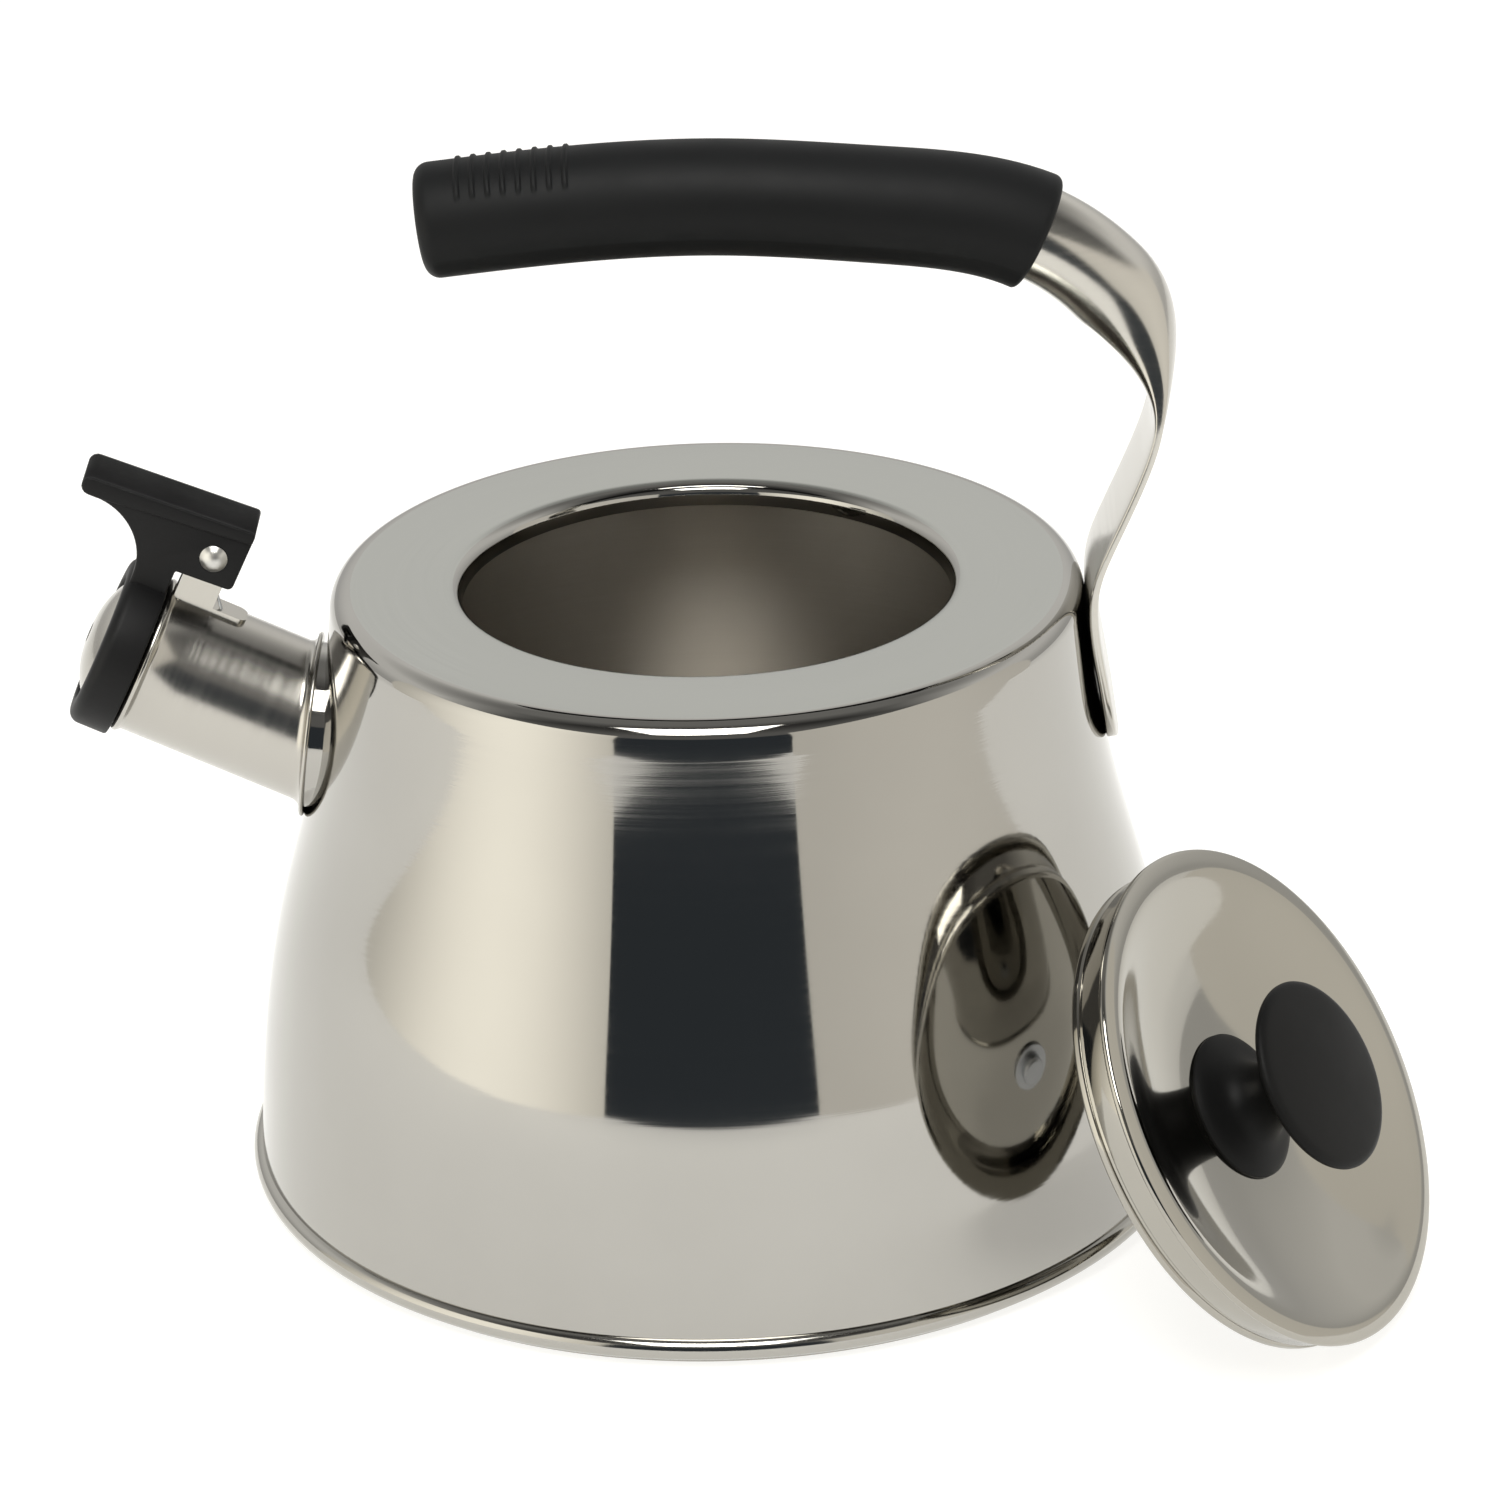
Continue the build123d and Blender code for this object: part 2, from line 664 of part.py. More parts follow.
with BuildPart() as handle_grip:
    for step in range(grip_stations + 1):
        x = grip_left + (grip_right - grip_left) * step / grip_stations
        flare = grip_flare * max(0, (x - grip_crown_x) / (grip_right - grip_crown_x)) ** 3
        with BuildSketch(plane_at(share_at(x))):
            Circle((grip_diameter + flare) / 2)
    loft()
    ends = handle_grip.faces().filter_by(GeomType.PLANE).sort_by(Axis.X)
    fillet(ends[0].edges(), grip_round)
    fillet(handle_grip.faces().filter_by(GeomType.PLANE).sort_by(Axis.X)[-1].edges(), grip_end_round)
    add(handle_core.part, mode=Mode.SUBTRACT)
    add(tube_plug.part, mode=Mode.SUBTRACT)
handle_grip.part.label = "handle_grip"
export_step(handle_grip.part, "parts/handle_grip.step")

# ---- lid, set down leaning beside the kettle ---------------------------------
# Sections are drawn with x out from the lid's axis and y up it from the rim.
bearing = radians(lid_bearing)
lid_lean = radians(lid_rise)
lid_out = Vector(cos(bearing) * cos(lid_lean), sin(bearing) * cos(lid_lean), sin(lid_lean))
lid_side = Vector(-sin(bearing), cos(bearing), 0)
collar_radius = mouth_radius - lid_clearance
lid_z = (
    (skirt_depth - lip_round) * sin(lid_lean)
    + (collar_radius - lip_round) * cos(lid_lean)
    + lip_round
)
lid_centre = Vector(lid_x, lid_y, lid_z)
lid_axis = Axis(lid_centre, lid_out)
lid_section = Plane(origin=lid_centre, x_dir=lid_side, z_dir=lid_side.cross(lid_out))
dish_shape = ((0.35, 0.93), (0.54, 0.73), (0.73, 0.35), (0.865, -0.03), (0.932, -0.16))


def draw_dish(depth):
    """Draw the lid's dish, this far under its top: shares of the radius and of the dish."""
    points = [(0, -lid_dish - depth)]
    for out, down in dish_shape:
        points.append((out * lid_radius, -down * lid_dish - depth))
    points.append((lid_radius - lid_roll, lid_roll - depth))
    Spline(*points, tangents=((1, 0), (1, -0.2)))


with BuildPart() as lid_pan:
    with BuildSketch(lid_section):
        with BuildLine():
            draw_dish(0)
            draw_dish(lid_sheet)
            Line((0, -lid_dish), (0, -lid_dish - lid_sheet))
            Line((lid_radius - lid_roll, lid_roll), (lid_radius - lid_roll, lid_roll - lid_sheet))
        make_face()
        with Locations((lid_radius - lid_roll, 0)):
            Circle(lid_roll)
    revolve(axis=lid_axis)
    with BuildSketch(Plane(origin=lid_centre, x_dir=lid_side, z_dir=lid_out)):
        Circle(screw_radius + screw_clearance)
    extrude(amount=-2 * lid_dish, mode=Mode.SUBTRACT)
lid_pan.part.label = "lid_pan"
export_step(lid_pan.part, "parts/lid_pan.step")

groove_top = -groove_start * skirt_depth
groove_foot = -groove_stop * skirt_depth
with BuildPart() as lid_skirt:
    with BuildSketch(lid_section):
        with BuildLine():
            Polyline(
                (collar_radius, lid_roll),
                (collar_radius, groove_top),
                (collar_radius - skirt_groove, groove_top),
                (collar_radius - skirt_groove, groove_foot),
                (collar_radius, groove_foot),
                (collar_radius, lip_round - skirt_depth),
            )
            ThreePointArc(
                (collar_radius, lip_round - skirt_depth),
                (
                    collar_radius - lip_round + lip_round * cos(pi / 4),
                    lip_round - skirt_depth - lip_round * sin(pi / 4),
                ),
                (collar_radius - lip_round, -skirt_depth),
            )
            Polyline(
                (collar_radius - lip_round, -skirt_depth),
                (collar_radius - skirt_groove - skirt_sheet, -skirt_depth),
                (collar_radius - skirt_groove - skirt_sheet, groove_top + skirt_sheet),
                (collar_radius - skirt_sheet, groove_top + skirt_sheet),
                (collar_radius - skirt_sheet, lid_roll),
                (collar_radius, lid_roll),
            )
        make_face()
    revolve(axis=lid_axis)
    add(lid_pan.part, mode=Mode.SUBTRACT)
lid_skirt.part.label = "lid_skirt"
export_step(lid_skirt.part, "parts/lid_skirt.step")

# ---- knob with its insert, screw and washer ----------------------------------
insert_foot = insert_lift - lid_dish
insert_top = insert_foot + insert_length
washer_top = -lid_dish - lid_sheet
waist_height = waist_share * knob_rim_height
under_brim, brim_foot, brim, brim_top = [(out * knob_radius, up * knob_rim_height) for out, up in knob_flare]
knob_top = knob_rim_height + knob_crown
knob_seat = -lid_dish - lid_sheet / 2
with BuildPart() as lid_knob:
    with BuildSketch(lid_section):
        with BuildLine():
            Line((0, knob_top), (0, insert_top))
            Polyline(
                (0, insert_top),
                (insert_radius, insert_top),
                (insert_radius, insert_foot),
                (screw_radius + screw_clearance, insert_foot),
                (screw_radius + screw_clearance, knob_seat),
                (knob_base_radius - knob_foot_rise, knob_seat),
                (knob_base_radius, knob_foot_rise - lid_dish),
            )
            Spline(
                (knob_base_radius, knob_foot_rise - lid_dish),
                (knob_foot[0] * knob_base_radius, -knob_foot[1] * lid_dish),
                (knob_waist, waist_height),
                under_brim,
                brim_foot,
                tangents=((-0.5, 0.6), (1, 0.1)),
            )
            ThreePointArc(brim_foot, brim, brim_top)
            Spline(brim_top, (0, knob_top), tangents=((-1, 0.15), (-1, 0)))
        make_face()
    revolve(axis=lid_axis)
    add(lid_pan.part, mode=Mode.SUBTRACT)
lid_knob.part.label = "lid_knob"
export_step(lid_knob.part, "parts/lid_knob.step")

with BuildPart() as knob_insert:
    with BuildSketch(Plane(origin=lid_centre + lid_out * insert_foot, x_dir=lid_side, z_dir=lid_out)):
        Circle(insert_radius)
    extrude(amount=insert_top - insert_foot)
    with BuildSketch(Plane(origin=lid_centre + lid_out * washer_top, x_dir=lid_side, z_dir=lid_out)):
        Circle(screw_radius)
    extrude(amount=screw_length - washer_thickness, mode=Mode.SUBTRACT)
knob_insert.part.label = "knob_insert"
export_step(knob_insert.part, "parts/knob_insert.step")

screw_seat = washer_top - washer_thickness
screw_plane = Plane(origin=lid_centre + lid_out * screw_seat, x_dir=lid_side, z_dir=lid_out)
with BuildPart() as knob_screw:
    with BuildSketch(screw_plane):
        Circle(screw_radius)
    extrude(amount=screw_length)
    with BuildSketch(screw_plane):
        Circle(screw_head_radius)
    extrude(amount=-screw_head_height)
    fillet(knob_screw.edges().filter_by(GeomType.CIRCLE).sort_by(lid_axis)[0], head_round * screw_head_height)
knob_screw.part.label = "knob_screw"
export_step(knob_screw.part, "parts/knob_screw.step")

with BuildPart() as knob_washer:
    with BuildSketch(screw_plane):
        Circle(washer_radius)
        Circle(screw_radius + screw_clearance, mode=Mode.SUBTRACT)
    extrude(amount=washer_thickness)
knob_washer.part.label = "knob_washer"
export_step(knob_washer.part, "parts/knob_washer.step")
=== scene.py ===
import math
import bmesh
import bpy
import numpy as np
from mathutils import Matrix, Vector
from mathutils.geometry import interpolate_bezier


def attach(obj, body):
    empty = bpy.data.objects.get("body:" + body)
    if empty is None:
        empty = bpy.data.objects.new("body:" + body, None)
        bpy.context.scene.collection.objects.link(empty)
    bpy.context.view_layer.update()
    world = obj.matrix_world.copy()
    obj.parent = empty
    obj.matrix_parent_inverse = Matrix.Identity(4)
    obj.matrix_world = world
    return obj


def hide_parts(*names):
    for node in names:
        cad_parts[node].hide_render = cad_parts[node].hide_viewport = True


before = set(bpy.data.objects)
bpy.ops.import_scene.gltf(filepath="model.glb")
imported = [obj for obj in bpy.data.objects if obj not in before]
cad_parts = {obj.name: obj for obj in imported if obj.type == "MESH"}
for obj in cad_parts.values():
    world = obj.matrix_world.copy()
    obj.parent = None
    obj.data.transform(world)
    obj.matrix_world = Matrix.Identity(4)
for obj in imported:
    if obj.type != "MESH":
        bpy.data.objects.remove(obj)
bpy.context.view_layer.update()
scene = bpy.context.scene
mm = 0.001
print("frame loaded")

# ways of the kettle: the spout points to -X, the handle stands at +X, up is +Z
across = Vector((0, 1, 0))
spoutRise = math.radians(25.5)
flangeLean = math.radians(8.3)
spoutOut = Vector((-math.cos(spoutRise), 0, math.sin(spoutRise)))
spoutUp = Vector((math.sin(spoutRise), 0, math.cos(spoutRise)))
flangeOut = Vector((-math.cos(flangeLean), 0, math.sin(flangeLean)))
flangeSeat = Vector((-82.609, 0, 97.966))  # mm, back of the flange on the spout's axis
spoutReach = 39.2
capBack = flangeSeat + spoutOut * spoutReach
lidBearing = math.radians(-27.0)
lidRise = math.radians(32.5)
lidOut = Vector((
    math.cos(lidBearing) * math.cos(lidRise),
    math.sin(lidBearing) * math.cos(lidRise),
    math.sin(lidRise),
))
lidCentre = Vector((111.6, -74.6, 46.878))


def framed(origin, xWay, zWay):
    # millimetres along x, y and z of a slanted frame, to the kettle's own
    yWay = zWay.cross(xWay)
    turn = Matrix((xWay, yWay, zWay)).transposed().to_4x4()
    return Matrix.Translation(origin) @ turn


spoutFrame = framed(capBack, across, spoutOut)
flangeFrame = framed(flangeSeat, across, flangeOut)
leverFrame = framed(capBack, spoutOut, across)
lidFrame = framed(lidCentre, Vector((-math.sin(lidBearing), math.cos(lidBearing), 0)), lidOut)


# ---- shape helpers, all in millimetres
def arc(centre, radius, start, end, steps=8):
    turns = [math.radians(start + (end - start) * i / steps) for i in range(steps + 1)]
    return [(centre[0] + radius * math.cos(a), centre[1] + radius * math.sin(a)) for a in turns]


def bezier(a, b, c, d, steps=40):
    found = interpolate_bezier(*[Vector((*point, 0)) for point in (a, b, c, d)], steps + 1)
    return [(p.x, p.y) for p in found]


def smoothLine(points, steps, startWay=None, endWay=None):
    # a cubic spline through the points, even in curvature, as a list of points along it
    known = np.array(points, float)
    gaps = np.linalg.norm(np.diff(known, axis=0), axis=1)
    count = len(known)
    table = np.zeros((count, count))
    right = np.zeros(known.shape)
    for i in range(1, count - 1):
        table[i, i - 1:i + 2] = (gaps[i], 2 * (gaps[i - 1] + gaps[i]), gaps[i - 1])
        right[i] = 3 * (
            gaps[i] * (known[i] - known[i - 1]) / gaps[i - 1]
            + gaps[i - 1] * (known[i + 1] - known[i]) / gaps[i]
        )
    for end, near, way in ((0, 1, startWay), (-1, -2, endWay)):
        table[end, end] = 1
        if way is None:
            table[end, end] = 2
            table[end, near] = 1
            gap = gaps[0] if end == 0 else gaps[-1]
            right[end] = 3 * (known[near] - known[end]) / gap * (1 if end == 0 else -1)
        else:
            right[end] = np.array(way, float) / np.linalg.norm(way)
    slopes = np.linalg.solve(table, right)
    along = np.concatenate(([0], np.cumsum(gaps)))
    found = []
    for s in np.linspace(0, along[-1], steps + 1):
        i = min(int(np.searchsorted(along, s, "right")) - 1, count - 2)
        g = gaps[i]
        t = (s - along[i]) / g
        found.append(tuple(
            known[i] * (1 + 2 * t) * (1 - t) ** 2 + slopes[i] * g * t * (1 - t) ** 2
            + known[i + 1] * t * t * (3 - 2 * t) + slopes[i + 1] * g * t * t * (t - 1)
        ))
    return found


def spun(profile, steps=192, paint=None):
    # a closed outline of (radius, height) turned once round the z axis
    shell = bmesh.new()
    line = [shell.verts.new((r, 0, h)) for r, h in profile]
    edges = []
    for a, b in zip(line, line[1:] + line[:1]):
        if abs(a.co.x) > 1e-6 or abs(b.co.x) > 1e-6:
            edges.append(shell.edges.new((a, b)))
    bmesh.ops.spin(
        shell, geom=line + edges, cent=(0, 0, 0), axis=(0, 0, 1), dvec=(0, 0, 0),
        angle=2 * math.pi, steps=steps, use_merge=True, use_duplicate=False,
    )
    bmesh.ops.remove_doubles(shell, verts=shell.verts, dist=1e-4)
    bmesh.ops.recalc_face_normals(shell, faces=shell.faces)
    if paint:
        for face in shell.faces:
            face.material_index = paint(face.calc_center_median())
    return shell


def sweptRings(ringAt, stations, count):
    # rings of points, one for each station, joined into a closed skin
    skin = bmesh.new()
    number = skin.verts.layers.int.new("number")
    ring = bmesh.ops.create_circle(skin, segments=count, radius=1)["verts"]
    for i, vert in enumerate(ring):
        vert[number] = i
        vert.co = ringAt(stations[0], i)
    edges = list(skin.edges)
    bmesh.ops.contextual_create(skin, geom=edges)
    for station in stations[1:]:
        made = bmesh.ops.extrude_edge_only(skin, edges=edges)["geom"]
        ring = {item for item in made if isinstance(item, bmesh.types.BMVert)}
        edges = [
            item for item in made
            if isinstance(item, bmesh.types.BMEdge) and item.verts[0] in ring and item.verts[1] in ring
        ]
        for vert in ring:
            vert.co = ringAt(station, vert[number])
    bmesh.ops.contextual_create(skin, geom=edges)
    bmesh.ops.recalc_face_normals(skin, faces=skin.faces)
    return skin


def slab(outline, halfWidth, edgeRound=0.0, segments=3):
    # a flat outline given a width both ways along z, with its edges rounded
    block = bmesh.new()
    face = block.faces.new([block.verts.new((x, y, -halfWidth)) for x, y in outline])
    made = bmesh.ops.extrude_face_region(block, geom=[face])["geom"]
    moved = [item for item in made if isinstance(item, bmesh.types.BMVert)]
    bmesh.ops.translate(block, verts=moved, vec=(0, 0, 2 * halfWidth))
    bmesh.ops.recalc_face_normals(block, faces=block.faces)
    if edgeRound:
        corners = [edge for edge in block.edges if edge.calc_face_angle(0) > math.radians(28)]
        bmesh.ops.bevel(
            block, geom=corners, offset=edgeRound, offset_type="OFFSET", segments=segments,
            profile=0.5, affect="EDGES", material=-1, clamp_overlap=True,
        )
    return block


def rod(radius, start, end, steps=48):
    return spun([(0, start), (radius, start), (radius, end), (0, end)], steps)


def moved(shell, matrix):
    bmesh.ops.transform(shell, matrix=matrix, verts=shell.verts)
    return shell


def joined(*shells):
    # several shells in one mesh
    whole = bmesh.new()
    for shell in shells:
        carrier = bpy.data.meshes.new("carrier")
        shell.to_mesh(carrier)
        shell.free()
        whole.from_mesh(carrier)
        bpy.data.meshes.remove(carrier)
    return whole


def combined(base, other, operation):
    # a true union or difference of two closed shells
    pair = []
    for shell in (base, other):
        mesh = bpy.data.meshes.new("carrier")
        shell.to_mesh(mesh)
        shell.free()
        holder = bpy.data.objects.new("carrier", mesh)
        scene.collection.objects.link(holder)
        pair.append(holder)
    step = pair[0].modifiers.new("step", "BOOLEAN")
    step.operation = operation
    step.solver = "EXACT"
    step.object = pair[1]
    ready = pair[0].evaluated_get(bpy.context.evaluated_depsgraph_get())
    result = bmesh.new()
    result.from_mesh(ready.to_mesh())
    ready.to_mesh_clear()
    for holder in pair:
        mesh = holder.data
        bpy.data.objects.remove(holder)
        bpy.data.meshes.remove(mesh)
    return result


def finished(name, shell, body, materials, stands=(), sharp=32):
    # millimetres to metres, smooth shading with true corners kept, and the calls every piece needs
    bmesh.ops.scale(shell, vec=(mm, mm, mm), verts=shell.verts)
    for face in shell.faces:
        face.smooth = True
    for edge in shell.edges:
        edge.smooth = edge.calc_face_angle(0) < math.radians(sharp)
    mesh = bpy.data.meshes.new(name)
    shell.to_mesh(mesh)
    shell.free()
    piece = bpy.data.objects.new(name, mesh)
    scene.collection.objects.link(piece)
    for material in materials:
        mesh.materials.append(material)
    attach(piece, body)
    if stands:
        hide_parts(*stands)
    return piece


# ---- material helpers
def paintColour(text):
    # an sRGB hex value to linear light
    parts = [int(text[i:i + 2], 16) / 255 for i in (1, 3, 5)]
    return tuple(p / 12.92 if p <= 0.04045 else ((p + 0.055) / 1.055) ** 2.4 for p in parts) + (1,)


def addNode(tree, kind, inputs=None, **settings):
    node = tree.nodes.new(kind)
    for key, value in settings.items():
        setattr(node, key, value)
    for key, value in (inputs or {}).items():
        if isinstance(value, bpy.types.NodeSocket):
            tree.links.new(value, node.inputs[key])
        else:
            node.inputs[key].default_value = value
    return node


def newMaterial(name):
    material = bpy.data.materials.new(name)
    material.use_nodes = True
    tree = material.node_tree
    tree.nodes.clear()
    shader = addNode(tree, "ShaderNodeBsdfPrincipled")
    addNode(tree, "ShaderNodeOutputMaterial", {"Surface": shader.outputs[0]})
    place = addNode(tree, "ShaderNodeTexCoord").outputs["Object"]
    return material, tree, shader, place


def turnedPlace(tree, place, matrix):
    # object coordinates as seen from a slanted frame, so a lathe pattern runs round its own axis
    back = matrix.inverted()
    turn = back.to_euler()
    shift = back.to_translation() * mm
    return addNode(tree, "ShaderNodeMapping", {
        "Vector": place, "Location": shift, "Rotation": turn,
    }, vector_type="POINT").outputs[0]


def timesOf(tree, value, factor):
    return addNode(tree, "ShaderNodeMath", {0: value, 1: factor}, operation="MULTIPLY").outputs[0]


def twoTone(tree, blend, colours):
    first, second = [paintColour(colour) for colour in colours]
    return addNode(tree, "ShaderNodeMixRGB", {"Fac": blend, "Color1": first, "Color2": second}).outputs[0]


def steel(name, look, matrix=None):
    # stainless steel; lines run round the axis of the frame it was spun or rolled in
    material, tree, shader, place = newMaterial(name)
    if matrix is not None:
        place = turnedPlace(tree, place, matrix)
    parts = addNode(tree, "ShaderNodeSeparateXYZ", {0: place})
    flat = addNode(tree, "ShaderNodeCombineXYZ", {0: parts.outputs[0], 1: parts.outputs[1]})
    radius = addNode(tree, "ShaderNodeVectorMath", {0: flat.outputs[0]}, operation="LENGTH")
    away = {"height": parts.outputs[2], "radius": radius.outputs["Value"]}[look["linesAcross"]]
    fine = timesOf(tree, away, 1 / (look["lineSpacing"] * mm))
    slowX = timesOf(tree, parts.outputs[0], look["lineLength"])
    slowY = timesOf(tree, parts.outputs[1], look["lineLength"])
    streaks = addNode(tree, "ShaderNodeCombineXYZ", {0: fine, 1: slowX, 2: slowY})
    lines = addNode(tree, "ShaderNodeTexNoise", {
        "Vector": streaks.outputs[0], "Scale": 1.0, "Detail": 3.0, "Roughness": 0.6,
    })
    cloud = addNode(tree, "ShaderNodeTexNoise", {"Vector": place, "Scale": 28.0, "Detail": 4.0})
    mixed = timesOf(tree, lines.outputs[0], cloud.outputs[0])
    rough = addNode(tree, "ShaderNodeMapRange", {
        "Value": mixed, "From Min": 0.12, "From Max": 0.4,
        "To Min": look["roughness"][0], "To Max": look["roughness"][1],
    })
    tint = twoTone(tree, cloud.outputs[0], look["colours"])
    bump = addNode(tree, "ShaderNodeBump", {
        "Height": lines.outputs[0], "Strength": look["lineStrength"], "Distance": look["lineDepth"] * mm,
    })
    tree.links.new(tint, shader.inputs["Base Color"])
    tree.links.new(rough.outputs[0], shader.inputs["Roughness"])
    tree.links.new(bump.outputs[0], shader.inputs["Normal"])
    shader.inputs["Metallic"].default_value = 1.0
    if "stretch" in look:
        # highlights drawn out square to the brushed lines, a quarter turn from them
        shader.inputs["Anisotropic"].default_value = look["stretch"]
        shader.inputs["Anisotropic Rotation"].default_value = 0.25
        alongLines = addNode(tree, "ShaderNodeTangent", direction_type="RADIAL", axis="Z")
        tree.links.new(alongLines.outputs[0], shader.inputs["Tangent"])
    return material


def moulded(name, look):
    # a moulded polymer with a grained skin
    material, tree, shader, place = newMaterial(name)
    grain = addNode(tree, "ShaderNodeTexNoise", {
        "Vector": place, "Scale": 1 / (look["grain"] * mm), "Detail": 2.0, "Roughness": 0.55,
    })
    patch = addNode(tree, "ShaderNodeTexNoise", {
        "Vector": place, "Scale": 45.0, "Detail": 5.0, "Roughness": 0.6,
    })
    tint = twoTone(tree, patch.outputs[0], look["colours"])
    rough = addNode(tree, "ShaderNodeMapRange", {
        "Value": patch.outputs[0], "From Min": 0.3, "From Max": 0.7,
        "To Min": look["roughness"][0], "To Max": look["roughness"][1],
    })
    bump = addNode(tree, "ShaderNodeBump", {
        "Height": grain.outputs[0], "Strength": look["grainStrength"], "Distance": look["grainDepth"] * mm,
    })
    tree.links.new(tint, shader.inputs["Base Color"])
    tree.links.new(rough.outputs[0], shader.inputs["Roughness"])
    tree.links.new(bump.outputs[0], shader.inputs["Normal"])
    shader.inputs["IOR"].default_value = look["ior"]
    shader.inputs["Specular IOR Level"].default_value = look["shine"]
    return material


# polished 304 stainless: buffed to a mirror round the wall, with the faint steps of the spinning roller
polishedWall = steel("polishedStainlessWall", {
    "colours": ("#A6A49F", "#AEACA7"), "roughness": (0.035, 0.075), "linesAcross": "height",
    "lineSpacing": 1.1, "lineLength": 9.0, "lineStrength": 0.25, "lineDepth": 0.012,
})
# the top ring is left satin: fine circular scratches that blur what it mirrors
satinRing = steel("satinStainlessRing", {
    "colours": ("#AFB0AB", "#B6B7B2"), "roughness": (0.2, 0.27), "linesAcross": "radius",
    "lineSpacing": 0.35, "lineLength": 14.0, "lineStrength": 0.35, "lineDepth": 0.008,
})
# the inside keeps the coarse brushed lines that the spinning left
brushedInside = steel("brushedStainlessInside", {
    "colours": ("#C2BDB4", "#CDC8C0"), "roughness": (0.36, 0.5), "linesAcross": "height", "stretch": 0.9,
    "lineSpacing": 0.6, "lineLength": 10.0, "lineStrength": 0.6, "lineDepth": 0.03,
})
brightRim = steel("brightRolledRim", {
    "colours": ("#A6A49E", "#AEACA6"), "roughness": (0.08, 0.14), "linesAcross": "radius",
    "lineSpacing": 0.8, "lineLength": 9.0, "lineStrength": 0.2, "lineDepth": 0.01,
})
spoutSteel = steel("polishedTube", {
    "colours": ("#B2AFA8", "#B9B6B0"), "roughness": (0.17, 0.25), "linesAcross": "height",
    "lineSpacing": 0.7, "lineLength": 20.0, "lineStrength": 0.25, "lineDepth": 0.01,
}, spoutFrame)
handleSteel = steel("satinTube", {
    "colours": ("#BDBAB3", "#C4C1BA"), "roughness": (0.14, 0.22), "linesAcross": "height",
    "lineSpacing": 0.5, "lineLength": 20.0, "lineStrength": 0.25, "lineDepth": 0.008,
})
lidSteel = steel("polishedStainlessLid", {
    "colours": ("#A29F97", "#AAA79F"), "roughness": (0.05, 0.1), "linesAcross": "radius",
    "lineSpacing": 1.4, "lineLength": 9.0, "lineStrength": 0.2, "lineDepth": 0.01,
}, lidFrame)
pressedSheet = steel("pressedStainlessSheet", {
    "colours": ("#B4B1AA", "#BCB9B2"), "roughness": (0.12, 0.2), "linesAcross": "height",
    "lineSpacing": 0.6, "lineLength": 20.0, "lineStrength": 0.3, "lineDepth": 0.01,
}, spoutFrame)
# the rivet's head is tumbled to a soft satin before it is set
tumbledRivet = steel("tumbledRivetHead", {
    "colours": ("#C4C3BF", "#CBCAC6"), "roughness": (0.3, 0.38), "linesAcross": "height",
    "lineSpacing": 0.9, "lineLength": 20.0, "lineStrength": 0.2, "lineDepth": 0.01,
})
hiddenAluminium = steel("millAluminium", {
    "colours": ("#C9CACC", "#D2D3D5"), "roughness": (0.35, 0.5), "linesAcross": "radius",
    "lineSpacing": 0.8, "lineLength": 12.0, "lineStrength": 0.4, "lineDepth": 0.02,
})
zincSteel = steel("zincPlatedSteel", {
    "colours": ("#B9BCC0", "#C6C8CB"), "roughness": (0.25, 0.4), "linesAcross": "radius",
    "lineSpacing": 0.5, "lineLength": 20.0, "lineStrength": 0.3, "lineDepth": 0.01,
}, lidFrame)
turnedBrass = steel("turnedBrass", {
    "colours": ("#C9A25A", "#D4B06A"), "roughness": (0.2, 0.35), "linesAcross": "height",
    "lineSpacing": 0.3, "lineLength": 20.0, "lineStrength": 0.4, "lineDepth": 0.02,
}, lidFrame)
# soft-touch rubber over the tube: dead matt, nearly no grain
softTouch = moulded("softTouchRubber", {
    "colours": ("#0D0E0F", "#131415"), "roughness": (0.5, 0.62), "grain": 0.35,
    "grainStrength": 0.25, "grainDepth": 0.02, "ior": 1.5, "shine": 0.2,
})
# glass-filled nylon from a spark-eroded mould: a fine sandy skin
sparkNylon = moulded("sparkTexturedNylon", {
    "colours": ("#0D0D0E", "#131314"), "roughness": (0.45, 0.6), "grain": 0.45,
    "grainStrength": 0.5, "grainDepth": 0.05, "ior": 1.53, "shine": 0.2,
})
# phenolic knob: hard and satin, slightly glossier on its crown; here the gloss only varies a little in
# random patches
phenolic = moulded("satinPhenolic", {
    "colours": ("#0E0E0E", "#141414"), "roughness": (0.4, 0.52), "grain": 0.5,
    "grainStrength": 0.3, "grainDepth": 0.025, "ior": 1.5, "shine": 0.12,
})
plainPlug = moulded("plainPolymer", {
    "colours": ("#202020", "#282828"), "roughness": (0.4, 0.5), "grain": 0.8,
    "grainStrength": 0.2, "grainDepth": 0.02, "ior": 1.5, "shine": 0.3,
})
print("materials made")

# ---- body shell
shellSize = {
    "shoulderRadius": 77.6, "height": 130.4, "shoulderRound": 4.4, "leanTop": 5.9, "leanFoot": 3.7,
    "footRadius": 98.1, "footHeight": 6.1, "bulgeTop": 0.54, "bulgeFoot": 0.57,
    "mouthRadius": 50.4, "mouthBend": 3.2, "collarDepth": 5.0, "sheet": 0.8, "steps": 256,
    "satinFrom": 52.0, "satinTo": 73.22, "ringMiddle": 65.0, "tuck": 2.6,
}


